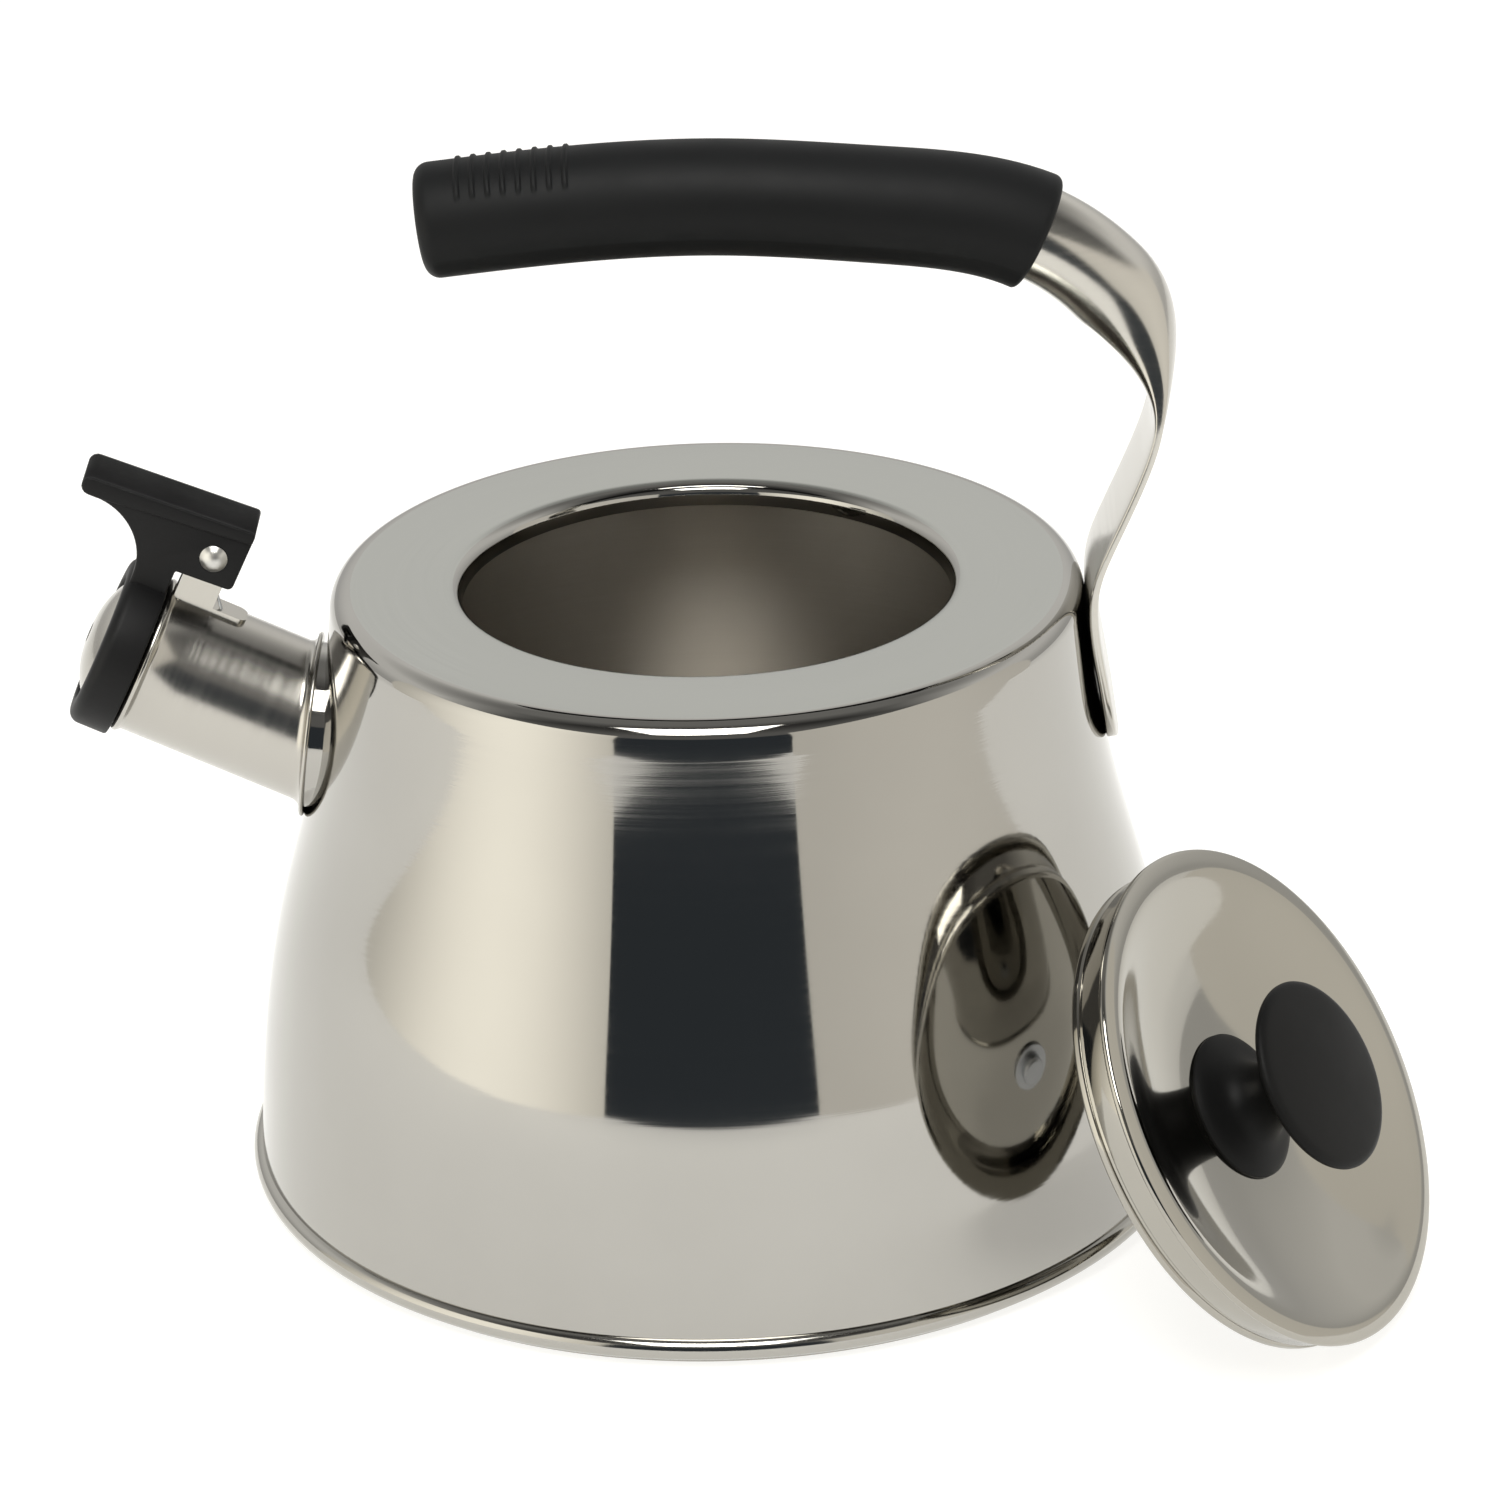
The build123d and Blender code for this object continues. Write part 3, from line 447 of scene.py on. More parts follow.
def wallSkin(depth):
    # points from the foot of the wall, over the shoulder, to where the top ring turns into the mouth
    s = shellSize
    leanTop, leanFoot = math.radians(s["leanTop"]), math.radians(s["leanFoot"])
    top = Vector((
        s["shoulderRadius"] - depth * math.cos(leanTop),
        s["height"] - s["shoulderRound"] + (s["shoulderRound"] - depth) * math.sin(leanTop),
    ))
    foot = Vector((s["footRadius"] - depth, s["footHeight"]))
    chord = (top - foot).length
    footHandle = foot + Vector((-math.sin(leanFoot), math.cos(leanFoot))) * s["bulgeFoot"] * chord
    topHandle = top + Vector((math.sin(leanTop), -math.cos(leanTop))) * s["bulgeTop"] * chord
    shoulder = s["shoulderRound"]
    centre = (s["shoulderRadius"] - shoulder * math.cos(leanTop), s["height"] - shoulder)
    line = [(foot.x, s["footHeight"] - s["tuck"])] + bezier(foot, footHandle, topHandle, top, 56)[:-1]
    line += arc(centre, shoulder - depth, s["leanTop"], 90, 12)
    bend = s["mouthBend"] - depth
    bendCentre = (s["mouthRadius"] + s["mouthBend"], s["height"] - s["mouthBend"])
    line += [(s["ringMiddle"], s["height"] - depth)] + arc(bendCentre, bend, 90, 180, 10)
    return line + [(s["mouthRadius"] + depth, s["height"] - s["collarDepth"])]


def shellFinish(point):
    # 0 polished outside, 1 satin ring, 2 brushed inside
    s = shellSize
    radius = math.hypot(point.x, point.y)
    above = point.z - (s["height"] - s["shoulderRound"])
    if point.z > s["height"] - s["collarDepth"] - 1 and radius < s["mouthRadius"] + s["mouthBend"]:
        return 1 if radius > s["satinFrom"] else 0
    if above > 0:
        out = math.hypot(max(radius - s["satinTo"], 0), above)
        if out < s["shoulderRound"] - s["sheet"] / 2:
            return 2
        return 1 if radius < s["satinTo"] else 0
    return 2 if radius < np.interp(point.z, skinHeights, skinRadii) - s["sheet"] / 2 else 0


outerSkin = wallSkin(0)
skinHeights = [p[1] for p in outerSkin[:58]]
skinRadii = [p[0] for p in outerSkin[:58]]
shell = spun(outerSkin + wallSkin(shellSize["sheet"])[::-1], shellSize["steps"], shellFinish)
neckSize = {"bore": 15.2, "outside": 17.4, "depth": 12, "boreCut": 60}
ns = neckSize
neckLine = [(ns["bore"], -ns["depth"]), (ns["outside"], -ns["depth"]), (ns["outside"], 0), (ns["bore"], 0)]
neck = moved(spun(neckLine, 96), flangeFrame)
boreCut = moved(rod(ns["bore"], -ns["boreCut"], 0, 96), spoutFrame)
shell = combined(shell, boreCut, "DIFFERENCE")
neckClear = spun([(0, 6)] + wallSkin(shellSize["sheet"])[1:56] + [(0, 128)], 128)
neck = combined(neck, neckClear, "DIFFERENCE")
finished(
    "kettleShell", joined(shell, neck), "kettle",
    [polishedWall, satinRing, brushedInside], ["body_shell"], sharp=40,
)
print("body shell made")

# ---- base: pan with its rolled bead, and the cover under it
baseSize = {
    "beadRadius": 2.3, "beadCentre": (97.7, 3.8), "spreader": 92.0, "underside": 3.0, "sheet": 0.8,
    "cover": 96.9, "coverSheet": 0.5,
}
bs = baseSize
beadMiddle, beadHeight = bs["beadCentre"]
beadFoot = beadHeight - bs["beadRadius"]
panEdge, panTop = bs["spreader"], bs["underside"] + bs["sheet"]
panLine = [
    (0, bs["underside"]), (panEdge - 0.4, bs["underside"]), (panEdge + 0.1, bs["underside"] - 0.3),
    (panEdge + 0.7, beadFoot + 0.2), (panEdge + 1.1, beadFoot), (beadMiddle, beadFoot),
    (beadMiddle, beadFoot + bs["sheet"]), (panEdge + 1.6, beadFoot + bs["sheet"]),
    (panEdge + 0.8, panTop), (0, panTop),
]
bead = arc(bs["beadCentre"], bs["beadRadius"], 0, 360, 24)[:-1]


def panFinish(point):
    # the floor inside is brushed, the rolled rim is bright
    return 1 if point.z > bs["underside"] - 0.1 and math.hypot(point.x, point.y) < panEdge else 0


finished(
    "rolledBase", joined(spun(panLine, 192, panFinish), spun(bead, 256)), "kettle",
    [brightRim, brushedInside], ["base_pan"],
)
coverEdge, coverRound = bs["cover"], 0.8
coverLine = [
    (0, 0), (coverEdge - 1.0, 0), *arc((coverEdge - coverRound, coverRound), coverRound, -90, 0, 5),
    (coverEdge, beadFoot), (bs["spreader"] + 0.2, beadFoot), (bs["spreader"], bs["coverSheet"]),
    (0, bs["coverSheet"]),
]
finished("baseCover", spun(coverLine, 256), "kettle", [brightRim], ["base_cover"])
print("base made")

# ---- spout: tube, flange with its small fillet, rolled lip
spoutSize = {
    "radius": 16.0, "bore": 15.2, "flange": 19.3, "flangeSheet": 0.9, "fillet": 2.0, "lip": 0.85,
    "capGap": 0.3, "around": 144,
}


def spoutRing(station, number):
    # a ring round the tube; "rise" is how far in front of the flange's face it lies
    rise, radius, edge = station
    angle = 2 * math.pi * number / spoutSize["around"]
    if edge:
        local = Vector((radius * math.cos(angle), radius * math.sin(angle), rise))
        return flangeFrame @ local
    radial = across * math.cos(angle) + spoutUp * math.sin(angle)
    face = flangeSeat + flangeOut * spoutSize["flangeSheet"]
    spot = flangeSeat + radial * radius
    reach = (face - spot).dot(flangeOut) / spoutOut.dot(flangeOut)
    if rise is None:
        return flangeSeat + spoutOut * edge + radial * radius
    return spot + spoutOut * (reach + rise)


flangeSheet, filletSize = spoutSize["flangeSheet"], spoutSize["fillet"]
edgeRound = flangeSheet / 2
tubeStations = [(0.0, 15.4, True), (0.0, spoutSize["flange"] - edgeRound, True)]
for x, y in arc((spoutSize["flange"] - edgeRound, edgeRound), edgeRound, -67, 90, 7):
    tubeStations.append((y, x, True))
filletTop = spoutSize["radius"] + filletSize
for x, y in arc((filletTop, filletSize), filletSize, 270, 180, 8):
    tubeStations.append((y, x, False))
lipCentre = spoutReach - spoutSize["capGap"] - spoutSize["lip"]
tubeLine = [(30.0, spoutSize["radius"]), (lipCentre - 1.4, spoutSize["radius"])]
tubeLine += [(y, x) for x, y in arc((spoutSize["radius"], lipCentre), spoutSize["lip"], -60, 90, 10)]
tubeLine += [(lipCentre + 0.6, spoutSize["bore"]), (10.0, spoutSize["bore"]), (-1.5, spoutSize["bore"])]


def tubeRing(station, number):
    along, radius = station
    angle = 2 * math.pi * number / spoutSize["around"]
    radial = across * math.cos(angle) + spoutUp * math.sin(angle)
    return flangeSeat + spoutOut * along + radial * radius


def spoutStation(station, number):
    return tubeRing(station, number) if len(station) == 2 else spoutRing(station, number)


finished(
    "spoutTube", sweptRings(spoutStation, tubeStations + tubeLine, spoutSize["around"]), "kettle",
    [spoutSteel], ["spout_tube"], sharp=40,
)
print("spout made")

# ---- whistle cap and thumb lever
leverSize = {
    "rear": -11.8, "rearHeight": 37.2, "frontHeight": 35.0, "noseBack": 23.0, "noseRound": 1.92,
    "hollowCentre": (21.0, 18.0), "hollow": 13.0, "armBack": 0.3, "cheekFoot": 22.6,
    "cheeks": 6.4, "plate": 7.0, "slot": 3.45, "slotRoof": 33.1, "pivot": (-5.8, 28.5),
    "capRadius": 18.3, "capLength": 8.6, "recess": 15.6, "recessDepth": 7.0, "window": 13.6,
    "mouldRound": 0.45,
}
ls = leverSize
noseArc = arc((ls["noseBack"], ls["frontHeight"] - ls["noseRound"]), ls["noseRound"], 90, -90, 8)
hollowArc = arc(ls["hollowCentre"], ls["hollow"], 90, 180, 18)
plateTop = [(ls["rear"] + 0.6, ls["rearHeight"]), (ls["noseBack"], ls["frontHeight"])] + noseArc[1:]
cheekLine = plateTop + hollowArc
cheekLine += [(8.0, 13.6), (ls["armBack"], 14.9), (ls["armBack"], ls["cheekFoot"])]
cheekLine += arc((ls["rear"] + 1.2, ls["cheekFoot"] + 1.8), 1.2, 270, 180, 4)
cheekLine += [(ls["rear"], 30.0), (ls["rear"], ls["rearHeight"] - 0.6)]
plateLine = plateTop + [(21.0, 31.2), (ls["rear"], 34.6), (ls["rear"], ls["rearHeight"] - 0.6)]
cheeks = slab(cheekLine, ls["cheeks"], ls["mouldRound"])
plate = slab(plateLine, ls["plate"], 0.6)
slotFoot, slotRear = 15.0, -25
slotLine = [
    (ls["armBack"], slotFoot), (ls["armBack"], ls["slotRoof"]),
    (slotRear, ls["slotRoof"]), (slotRear, slotFoot),
]
slotCut = slab(slotLine, ls["slot"])
pivotCut = moved(rod(1.55, -10, 10, 32), Matrix.Translation((*ls["pivot"], 0)))
capLine = [
    (ls["recess"], 0), *arc((ls["capRadius"] - 0.5, 0.5), 0.5, -90, 0, 4),
    *arc((ls["capRadius"] - 2.4, ls["capLength"] - 2.4), 2.4, 0, 90, 8),
    *arc((ls["window"] + 0.6, ls["capLength"] - 0.6), 0.6, 90, 180, 4),
    (ls["window"], ls["recessDepth"]), (ls["recess"], ls["recessDepth"]),
]
recessCut = moved(rod(ls["recess"] - 0.05, -3, ls["recessDepth"], 96), spoutFrame)
cheeks = combined(cheeks, slotCut, "DIFFERENCE")
cheeks = combined(cheeks, pivotCut, "DIFFERENCE")
cheeks = combined(moved(cheeks, leverFrame), recessCut, "DIFFERENCE")
ring = moved(spun(capLine, 144), spoutFrame)
finished(
    "whistleLever", joined(cheeks, moved(plate, leverFrame), ring), "whistle",
    [sparkNylon], ["whistle_lever"], sharp=38,
)
domeFoot, domeTop, discSheet, discHole, discEdge = 6.5, 10.5, 0.5, 2.2, 15.4
domeLine = [(discEdge, domeFoot), (13.1, domeFoot)]
domeLine += bezier((13.1, domeFoot), (10.5, 8.8), (6.5, 10.4), (discHole, domeTop), 14)[1:]
domeLine += [(discHole, domeTop + discSheet)]
domeLine += bezier((discHole, 11.0), (6.5, 10.9), (10.8, 9.2), (13.3, domeFoot + discSheet), 14)[1:]
domeLine += [(discEdge, domeFoot + discSheet)]
finished(
    "whistleDisc", moved(spun(domeLine, 96), spoutFrame), "whistle",
    [pressedSheet], ["whistle_front_disc"],
)
rivetSize = {"shank": 1.5, "seat": 6.5, "head": 2.85, "dome": 1.3, "domeRadius": 3.774}
rs = rivetSize
rivetDome = arc((0, rs["seat"] + rs["dome"] - rs["domeRadius"]), rs["domeRadius"], 49, 90, 8)
rivetLine = [(rs["head"], rs["seat"])] + rivetDome[1:] + [(0, -rs["seat"] - rs["dome"])]
rivetLine += [(x, -y) for x, y in rivetDome[::-1]][1:-1] + [(rs["head"], -rs["seat"])]
rivetLine += [(rs["shank"], -rs["seat"]), (rs["shank"], rs["seat"])]
rivetFrame = framed(leverFrame @ Vector((*ls["pivot"], 0)), spoutOut, across)
finished(
    "hingeRivet", moved(spun(rivetLine, 48), rivetFrame), "kettle",
    [tumbledRivet], ["hinge_rivet"],
)
print("whistle made")

# ---- handle: steel tube that runs flat, with its soft grip
handleSize = {
    "tube": 19.4, "strapWidth": 28.0, "strap": 2.4, "flatStart": 193.0, "flatEnd": 164.0,
    "strapEnd": 94.5, "pad": 0.4, "endCap": 4.0, "around": 96,
    "strapCorner": 12.0, "grip": 23.4, "flare": 1.0, "crown": 211.9, "crownX": 5.0,
    "left": -55.4, "right": 68.5,
    "leftDrop": 4.1, "rightDrop": 8.75, "dent": 3.0,
}
hs = handleSize
handlePoints = []
for x in (hs["left"], hs["left"] / 2, hs["crownX"], (hs["crownX"] + hs["right"]) / 2, hs["right"]):
    if x < hs["crownX"]:
        drop = hs["leftDrop"] * ((hs["crownX"] - x) / (hs["crownX"] - hs["left"])) ** 2
    else:
        drop = hs["rightDrop"] * ((x - hs["crownX"]) / (hs["right"] - hs["crownX"])) ** 2
    handlePoints.append((x, hs["crown"] - drop))
handlePoints += [(80.5, 194.7), (89.6, 182.1), (92.4, 168.0), (89.3, 155.4), (82.3, 139.0), (79.4, 130.5)]
handlePoints += [(79.06, 124.1), (81.11, 109.5), (83.4, 93.7)]
handleLine = np.array(smoothLine(handlePoints, 900))
handleSlope = np.gradient(handleLine, axis=0)
handleSlope /= np.linalg.norm(handleSlope, axis=1)[:, None]
handleLength = np.concatenate(([0], np.cumsum(np.linalg.norm(np.diff(handleLine, axis=0), axis=1))))


def onHandle(length):
    # point on the handle's middle line at a length along it, and the way outwards from the bend
    x, z, tx, tz = (
        float(np.interp(length, handleLength, column))
        for column in (handleLine[:, 0], handleLine[:, 1], handleSlope[:, 0], handleSlope[:, 1])
    )
    return Vector((x, 0, z)), Vector((-tz, 0, tx)).normalized(), Vector((tx, 0, tz)).normalized()


def eased(value, start, end):
    part = min(max((value - start) / (end - start), 0), 1)
    return part * part * (3 - 2 * part)


def steelRing(length, number):
    centre, outer, ahead = onHandle(length)
    flat = eased(centre.z, hs["flatStart"], hs["flatEnd"])
    thick = hs["tube"] + (hs["strap"] + hs["pad"] * eased(centre.z, 140, 122) - hs["tube"]) * flat
    wide = hs["tube"] + (hs["strapWidth"] - hs["tube"]) * flat
    above = max(centre.z - hs["strapEnd"], 0.0)
    if above < hs["strapCorner"]:
        cut = hs["strapCorner"] - math.sqrt(hs["strapCorner"] ** 2 - (hs["strapCorner"] - above) ** 2)
        wide -= 2 * cut
    angle = 2 * math.pi * number / hs["around"]
    ca, sa = math.cos(angle), math.sin(angle)
    power = 1 - 0.68 * flat
    u = wide / 2 * ca
    v = thick / 2 * math.copysign(abs(sa) ** power, sa)
    if sa < 0:
        dent = hs["dent"] * eased(centre.z, 192, 180) * (1 - eased(centre.z, 176, 166))
        v += dent * max(0.0, 1 - (u / (0.3 * wide)) ** 2) ** 2
    return centre + across * u + outer * v


tubeStart = float(np.interp(hs["left"] + hs["endCap"], handleLine[:, 0][:500], handleLength[:500]))
steelEnd = float(handleLength[-1]) - 0.85
endRun = 13  # stretch over which the strap's lower corners are cut round
steps = list(np.linspace(tubeStart, steelEnd - endRun, 170))
steps += [steelEnd - endRun + endRun * math.sin(i * math.pi / 40) for i in range(1, 21)]
finished(
    "handleSteel", sweptRings(steelRing, steps, hs["around"]), "kettle",
    [handleSteel], ["handle_tube"], sharp=50,
)

gripSize = {
    "roundLeft": 3.0, "roundRight": 1.2, "ribs": 8, "firstRib": -46.3, "ribPitch": 3.05, "ribWidth": 0.85,
    "ribHeight": 0.45, "partingAngle": 118, "partingHeight": 0.1, "partingWidth": 4, "ring": 128,
}
gs = gripSize
ribSpots = [gs["firstRib"] + gs["ribPitch"] * i for i in range(gs["ribs"])]


def gripRing(station, number):
    x, inset = station
    length = float(np.interp(x, handleLine[:, 0][:600], handleLength[:600]))
    centre, outer, ahead = onHandle(length)
    flare = hs["flare"] * max(0.0, (x - hs["crownX"]) / (hs["right"] - hs["crownX"])) ** 3
    radius = (hs["grip"] + flare) / 2 - inset
    angle = 2 * math.pi * number / gs["ring"]
    side = math.degrees(math.atan2(math.cos(angle), math.sin(angle)))  # 0 at the top, 90 at either side
    nearest = min(abs(x - spot) for spot in ribSpots)
    rib = 1 - eased(nearest, gs["ribWidth"] * 0.3, gs["ribWidth"] * 0.75)
    reach = 1 - eased(abs(side), 50, 56)
    radius += gs["ribHeight"] * rib * reach * (1 if inset == 0 else 0)
    seam = min(abs(abs(side) - gs["partingAngle"]), gs["partingWidth"]) / gs["partingWidth"]
    radius += gs["partingHeight"] * (1 - seam) ** 2 if inset == 0 else 0
    return centre + (across * math.cos(angle) + outer * math.sin(angle)) * radius


gripStations = []
for i in range(9):
    turn = math.pi / 2 * i / 8
    leftX = hs["left"] + gs["roundLeft"] * (1 - math.sin(turn))
    gripStations.append((leftX, gs["roundLeft"] * (1 - math.cos(turn))))
gripStations.sort()
ribStart, ribStop = ribSpots[0] - 1.2, ribSpots[-1] + 1.2
gripStations += [(x, 0) for x in np.linspace(hs["left"] + gs["roundLeft"] + 0.6, ribStart - 0.3, 8)]
gripStations += [(x, 0) for x in np.linspace(ribStart, ribStop, 180)]
gripStations += [(x, 0) for x in np.linspace(ribStop + 0.8, hs["right"] - gs["roundRight"] - 0.3, 50)]
for i in range(7):
    turn = math.pi / 2 * i / 6
    rightX = hs["right"] - gs["roundRight"] * (1 - math.sin(turn))
    gripStations.append((rightX, gs["roundRight"] * (1 - math.cos(turn))))
finished(
    "softGrip", sweptRings(gripRing, gripStations, gs["ring"]), "kettle", [softTouch],
    ["handle_grip"], sharp=60,
)
print("handle made")

# ---- lid
lidSize = {
    "radius": 52.0, "roll": 0.9, "sheet": 0.6, "dish": 7.4, "collar": 50.0, "skirt": 9.4, "skirtSheet": 0.7,
    "groove": 0.5, "lip": 0.9, "screwHole": 2.75, "steps": 224,
}
lz = lidSize
rollCentre = lz["radius"] - lz["roll"]
dishShape = ((0, 1), (0.35, 0.93), (0.54, 0.73), (0.73, 0.35), (0.865, -0.03), (0.932, -0.16))
dishPoints = [(out * lz["radius"], -down * lz["dish"]) for out, down in dishShape]
dishPoints += [(rollCentre, lz["roll"])]
dishTop = smoothLine(dishPoints, 60, (1, 0), (1, -0.2))
dishUnder = [(r, h - lz["sheet"]) for r, h in dishTop]
rimRoll = arc((rollCentre, 0), lz["roll"], 78, -150, 14)
lidLine = [(lz["screwHole"], -lz["dish"])] + [p for p in dishTop if p[0] > 3] + rimRoll[1:]
lidLine += [p for p in dishUnder[::-1] if 3 < p[0] < rollCentre - lz["roll"]]
lidLine += [(lz["screwHole"], -lz["dish"] - lz["sheet"])]
finished(
    "lidPan", moved(spun(lidLine, lz["steps"]), lidFrame), "lid", [lidSteel], ["lid_pan"],
    sharp=40,
)
collar, grooved, inner = lz["collar"], lz["collar"] - lz["groove"], lz["collar"] - lz["skirtSheet"]
collarLine = [
    (collar, lz["sheet"]), (collar, -6.3), (collar - 0.25, -6.6), (grooved, -6.75), (grooved, -7.35),
    (collar - 0.25, -7.5), (collar, -7.7),
    *arc((collar - lz["lip"], lz["lip"] - lz["skirt"]), lz["lip"], 0, -90, 6),
    (inner - lz["groove"], -lz["skirt"]), (inner - lz["groove"], -5.9), (inner, -5.7), (inner, 0.5),
]
finished(
    "lidCollar", moved(spun(collarLine, lz["steps"]), lidFrame), "lid",
    [lidSteel], ["lid_skirt"], sharp=40,
)
knobSide = smoothLine(
    [(15.1, -6.6), (9.06, -3.33), (7.2, 5.0), (12.94, 10.15), (18.23, 11.58)], 40, (-0.5, 0.6), (1, 0.1)
)
knobEdge = smoothLine([(18.23, 11.58), (19.6, 13.0), (17.84, 14.3)], 10, (1, 0.1), (-1, 0.15))
knobCrown = smoothLine([(17.84, 14.3), (9.0, 15.2), (0, 15.5)], 12, (-1, 0.15), (-1, 0))
knobLine = [(lz["screwHole"], -7.6), (14.6, -7.35), (15.05, -7.1)] + knobSide + knobEdge[1:] + knobCrown[1:]
knobLine += [(0, 4.1), (4.0, 4.1), (4.0, -5.9), (lz["screwHole"], -5.9)]
finished(
    "lidKnob", moved(spun(knobLine, 128), lidFrame), "lid",
    [phenolic], ["lid_knob"], sharp=40,
)
print("lid made")

# ---- CAD nodes that keep their own shape
keptNodes = {
    "heat_spreader": hiddenAluminium, "hinge_bracket": pressedSheet, "lever_spring": zincSteel,
    "tube_plug": plainPlug, "whistle_back_disc": pressedSheet, "whistle_keeper": pressedSheet,
    "knob_insert": turnedBrass, "knob_screw": zincSteel, "knob_washer": zincSteel,
}
for node, material in keptNodes.items():
    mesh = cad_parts[node].data
    mesh.materials.clear()
    mesh.materials.append(material)

# ---- studio: a pale table, soft panels at each side and above, and a dark one in front
studio = {
    "table": (-3.0, 3.0, -3.0, 3.0), "tableGlow": 0.84,
    "sky": "#F2F1EE", "skyLow": 0.7, "skyMiddle": 1.05, "skyHigh": 0.3, "skyFront": 0.2,
}


def stageSheet(name, corners, material, hidden=True):
    sheet = bmesh.new()
    sheet.faces.new([sheet.verts.new(corner) for corner in corners])
    mesh = bpy.data.meshes.new(name)
    sheet.to_mesh(mesh)
    sheet.free()
    mesh.materials.append(material)
    thing = bpy.data.objects.new(name, mesh)
    scene.collection.objects.link(thing)
    thing.visible_camera = not hidden
    return thing


paleTable, tree, shader, place = newMaterial("paleTable")
shader.inputs["Base Color"].default_value = paintColour("#9A9A99")
shader.inputs["Roughness"].default_value = 0.9
shader.inputs["Specular IOR Level"].default_value = 0.1
shader.inputs["Emission Color"].default_value = paintColour("#FFFEFB")
shader.inputs["Emission Strength"].default_value = studio["tableGlow"]
x0, x1, y0, y1 = studio["table"]
stageSheet("tableTop", [(x0, y0, 0), (x1, y0, 0), (x1, y1, 0), (x0, y1, 0)], paleTable, hidden=False)


def glowing(name, colour, middle, edge, span, reach):
    # light that falls off from the middle of the sheet towards both upright edges, along span
    material, tree, shader, place = newMaterial(name)
    along = addNode(tree, "ShaderNodeVectorMath", {0: place, 1: span}, operation="DOT_PRODUCT")
    centred = addNode(tree, "ShaderNodeMath", {0: along.outputs["Value"], 1: reach[0]}, operation="SUBTRACT")
    away = addNode(tree, "ShaderNodeMath", {0: centred.outputs[0]}, operation="ABSOLUTE")
    fade = addNode(tree, "ShaderNodeMapRange", {
        "Value": away.outputs[0], "From Min": 0.0, "From Max": reach[1], "To Min": middle, "To Max": edge,
    }, interpolation_type="SMOOTHSTEP")
    shader.inputs["Base Color"].default_value = (0, 0, 0, 1)
    shader.inputs["Specular IOR Level"].default_value = 0.0
    shader.inputs["Emission Color"].default_value = paintColour(colour)
    tree.links.new(fade.outputs[0], shader.inputs["Emission Strength"])
    return material


def panel(name, start, end, low, high, colour, middle, edge, peak=0.5):
    # a tall sheet standing over the table from one plan point to another, brightest at its peak
    corners = [(*start, low), (*end, low), (*end, high), (*start, high)]
    span = Vector((*end, 0)) - Vector((*start, 0))
    length = span.length
    span.normalize()
    centre = Vector((*start, 0)).dot(span) + length * peak
    reach = (centre, length * max(peak, 1 - peak))
    return stageSheet(name, corners, glowing(name, colour, middle, edge, span, reach))


panel("leftPanel", (-0.285, -0.62), (-0.66, 0.10), 0.0, 0.42, "#FFFBF0", 1.95, 0.95, 0.42)
panel("rightPanel", (0.275, -0.62), (0.62, 0.16), 0.0, 0.42, "#FFFBF2", 1.05, 0.95)
panel("darkPanel", (-0.36, -0.64), (0.38, -0.64), 0.0, 0.34, "#3A3F44", 1.1, 1.1)
topPanel = [(-0.40, -1.30, 1.3), (0.32, -1.30, 1.3), (0.32, -0.40, 1.3), (-0.40, -0.40, 1.3)]
stageSheet("topPanel", topPanel, glowing("topPanel", "#FFFEFA", 10.0, 7.0, Vector((1, 0, 0)), (-0.04, 0.36)))


def softBox(name, spot, aim, size, power, seen=True):
    light = bpy.data.lights.new(name, "AREA")
    light.shape = "RECTANGLE"
    light.size, light.size_y = size
    light.energy = power
    lamp = bpy.data.objects.new(name, light)
    lamp.location = spot
    lamp.rotation_euler = (Vector(aim) - Vector(spot)).to_track_quat("-Z", "Y").to_euler()
    lamp.visible_camera = False
    lamp.visible_glossy = seen
    scene.collection.objects.link(lamp)


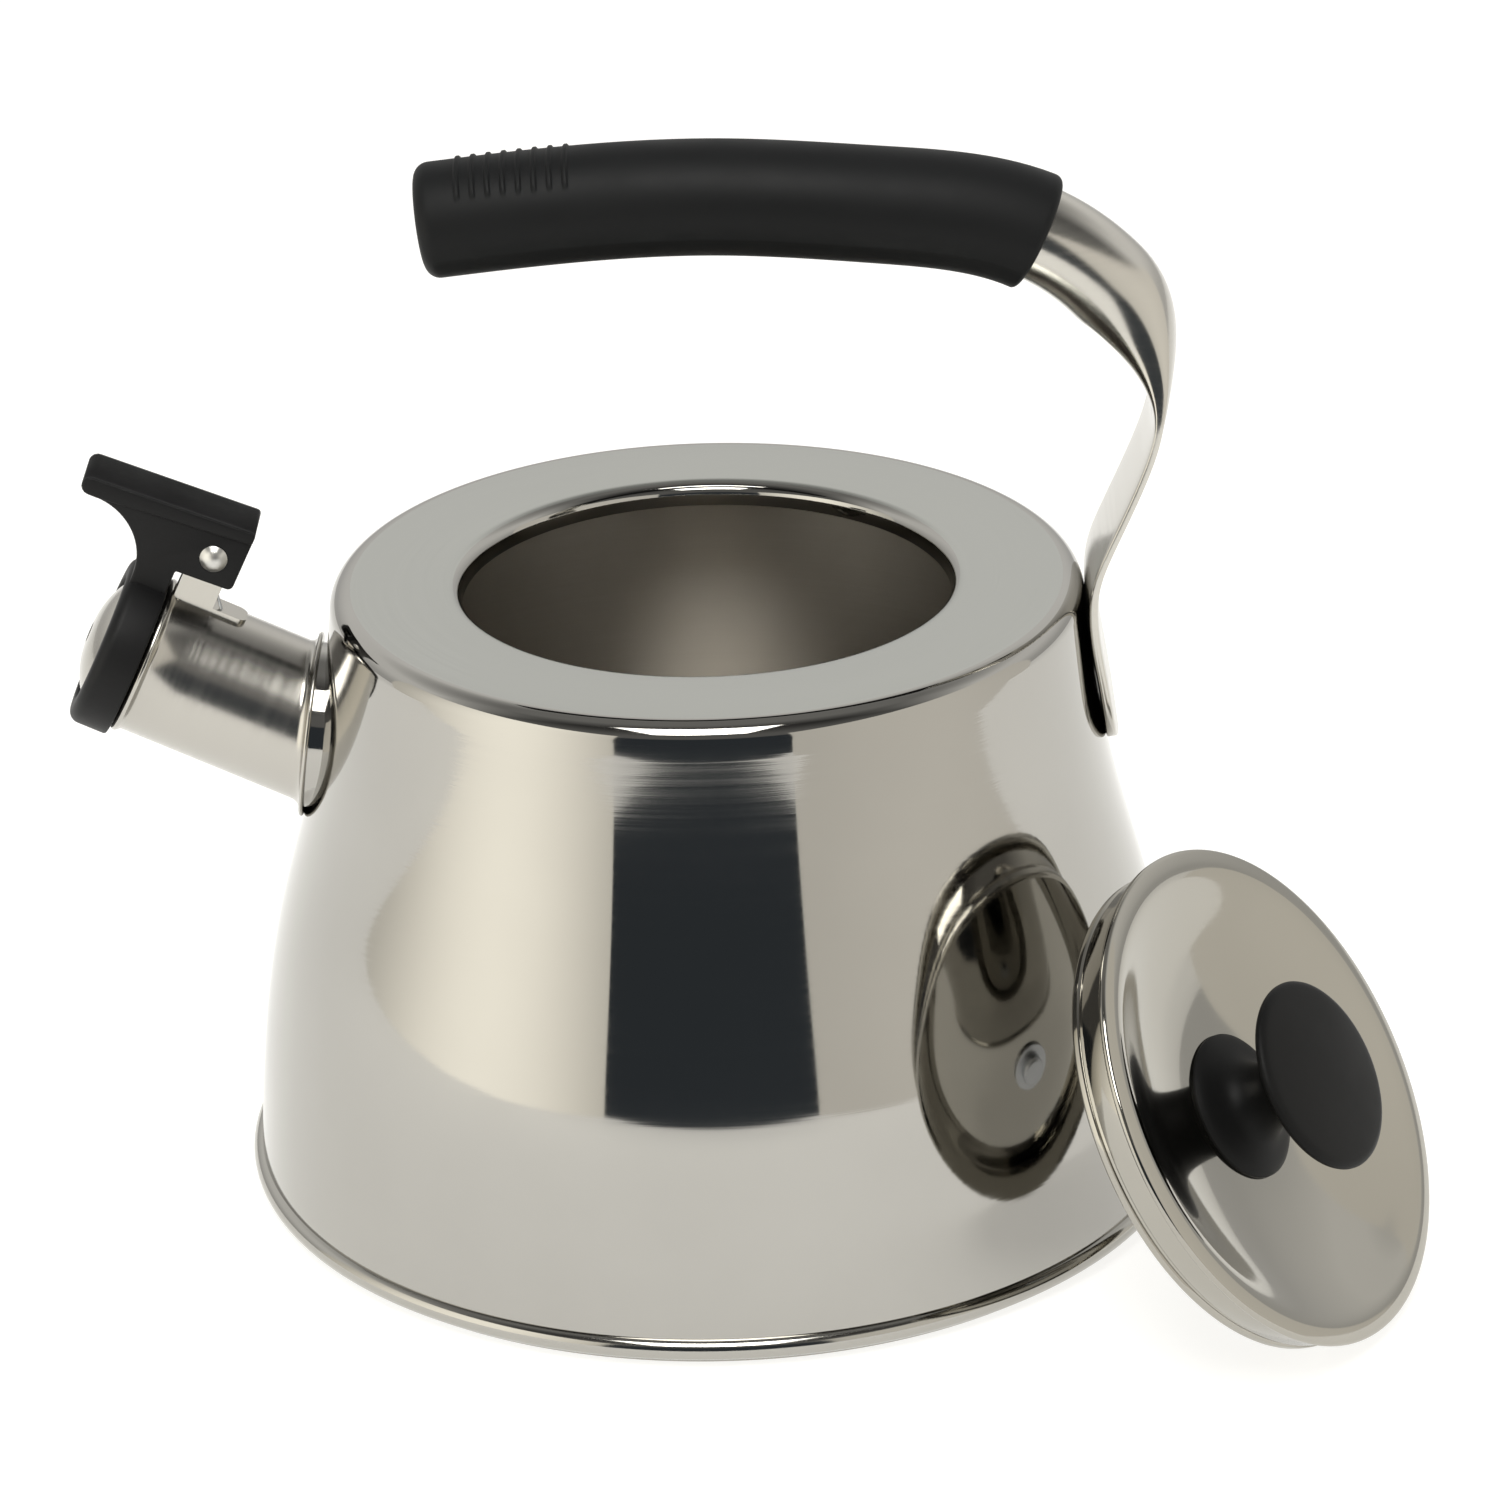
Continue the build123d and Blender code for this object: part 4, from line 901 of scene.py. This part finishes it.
softBox("overhead", (0.0, 0.1, 1.4), (0, 0, 0), (1.6, 1.2), 7, seen=False)
world = bpy.data.worlds.new("studioRoom")
scene.world = world
world.use_nodes = True
room = world.node_tree.nodes["Background"]
room.inputs["Color"].default_value = paintColour(studio["sky"])
skyWay = addNode(world.node_tree, "ShaderNodeTexCoord").outputs["Generated"]
skyParts = addNode(world.node_tree, "ShaderNodeSeparateXYZ", {0: skyWay})
skyFade = addNode(world.node_tree, "ShaderNodeMapRange", {
    "Value": skyParts.outputs[2], "From Min": 0.55, "From Max": 0.85,
    "To Min": 1.0, "To Max": studio["skyHigh"],
})
skyRise = addNode(world.node_tree, "ShaderNodeMapRange", {
    "Value": skyParts.outputs[2], "From Min": 0.1, "From Max": 0.4,
    "To Min": studio["skyLow"], "To Max": studio["skyMiddle"],
})
skyLevel = addNode(world.node_tree, "ShaderNodeMath", {
    0: skyFade.outputs[0], 1: skyRise.outputs[0],
}, operation="MULTIPLY")
skySide = addNode(world.node_tree, "ShaderNodeMapRange", {
    "Value": skyParts.outputs[1], "From Min": -0.3, "From Max": 0.1,
    "To Min": studio["skyFront"], "To Max": 1.0,
})
skyWhole = addNode(world.node_tree, "ShaderNodeMath", {
    0: skyLevel.outputs[0], 1: skySide.outputs[0],
}, operation="MULTIPLY")
world.node_tree.links.new(skyWhole.outputs[0], room.inputs["Strength"])

lens = bpy.data.cameras.new("camera")
camera = bpy.data.objects.new("camera", lens)
scene.collection.objects.link(camera)
scene.camera = camera
cameraSize = {
    "spot": (0.03787, -1.13960, 0.60323), "aim": (0.00803, 0.00021, 0.09045), "lens": 144.05, "roll": -1.481,
}
lens.sensor_width = 36
lens.lens = cameraSize["lens"]
lens.clip_end = 20
ahead = (Vector(cameraSize["aim"]) - Vector(cameraSize["spot"])).normalized()
level = ahead.to_track_quat("-Z", "Y").to_matrix()
tilt = Matrix.Rotation(math.radians(cameraSize["roll"]), 3, "Z")
camera.matrix_world = Matrix.Translation(cameraSize["spot"]) @ (level @ tilt).to_4x4()
scene.view_settings.view_transform = "Standard"
scene.view_settings.look = "None"
print("studio made")
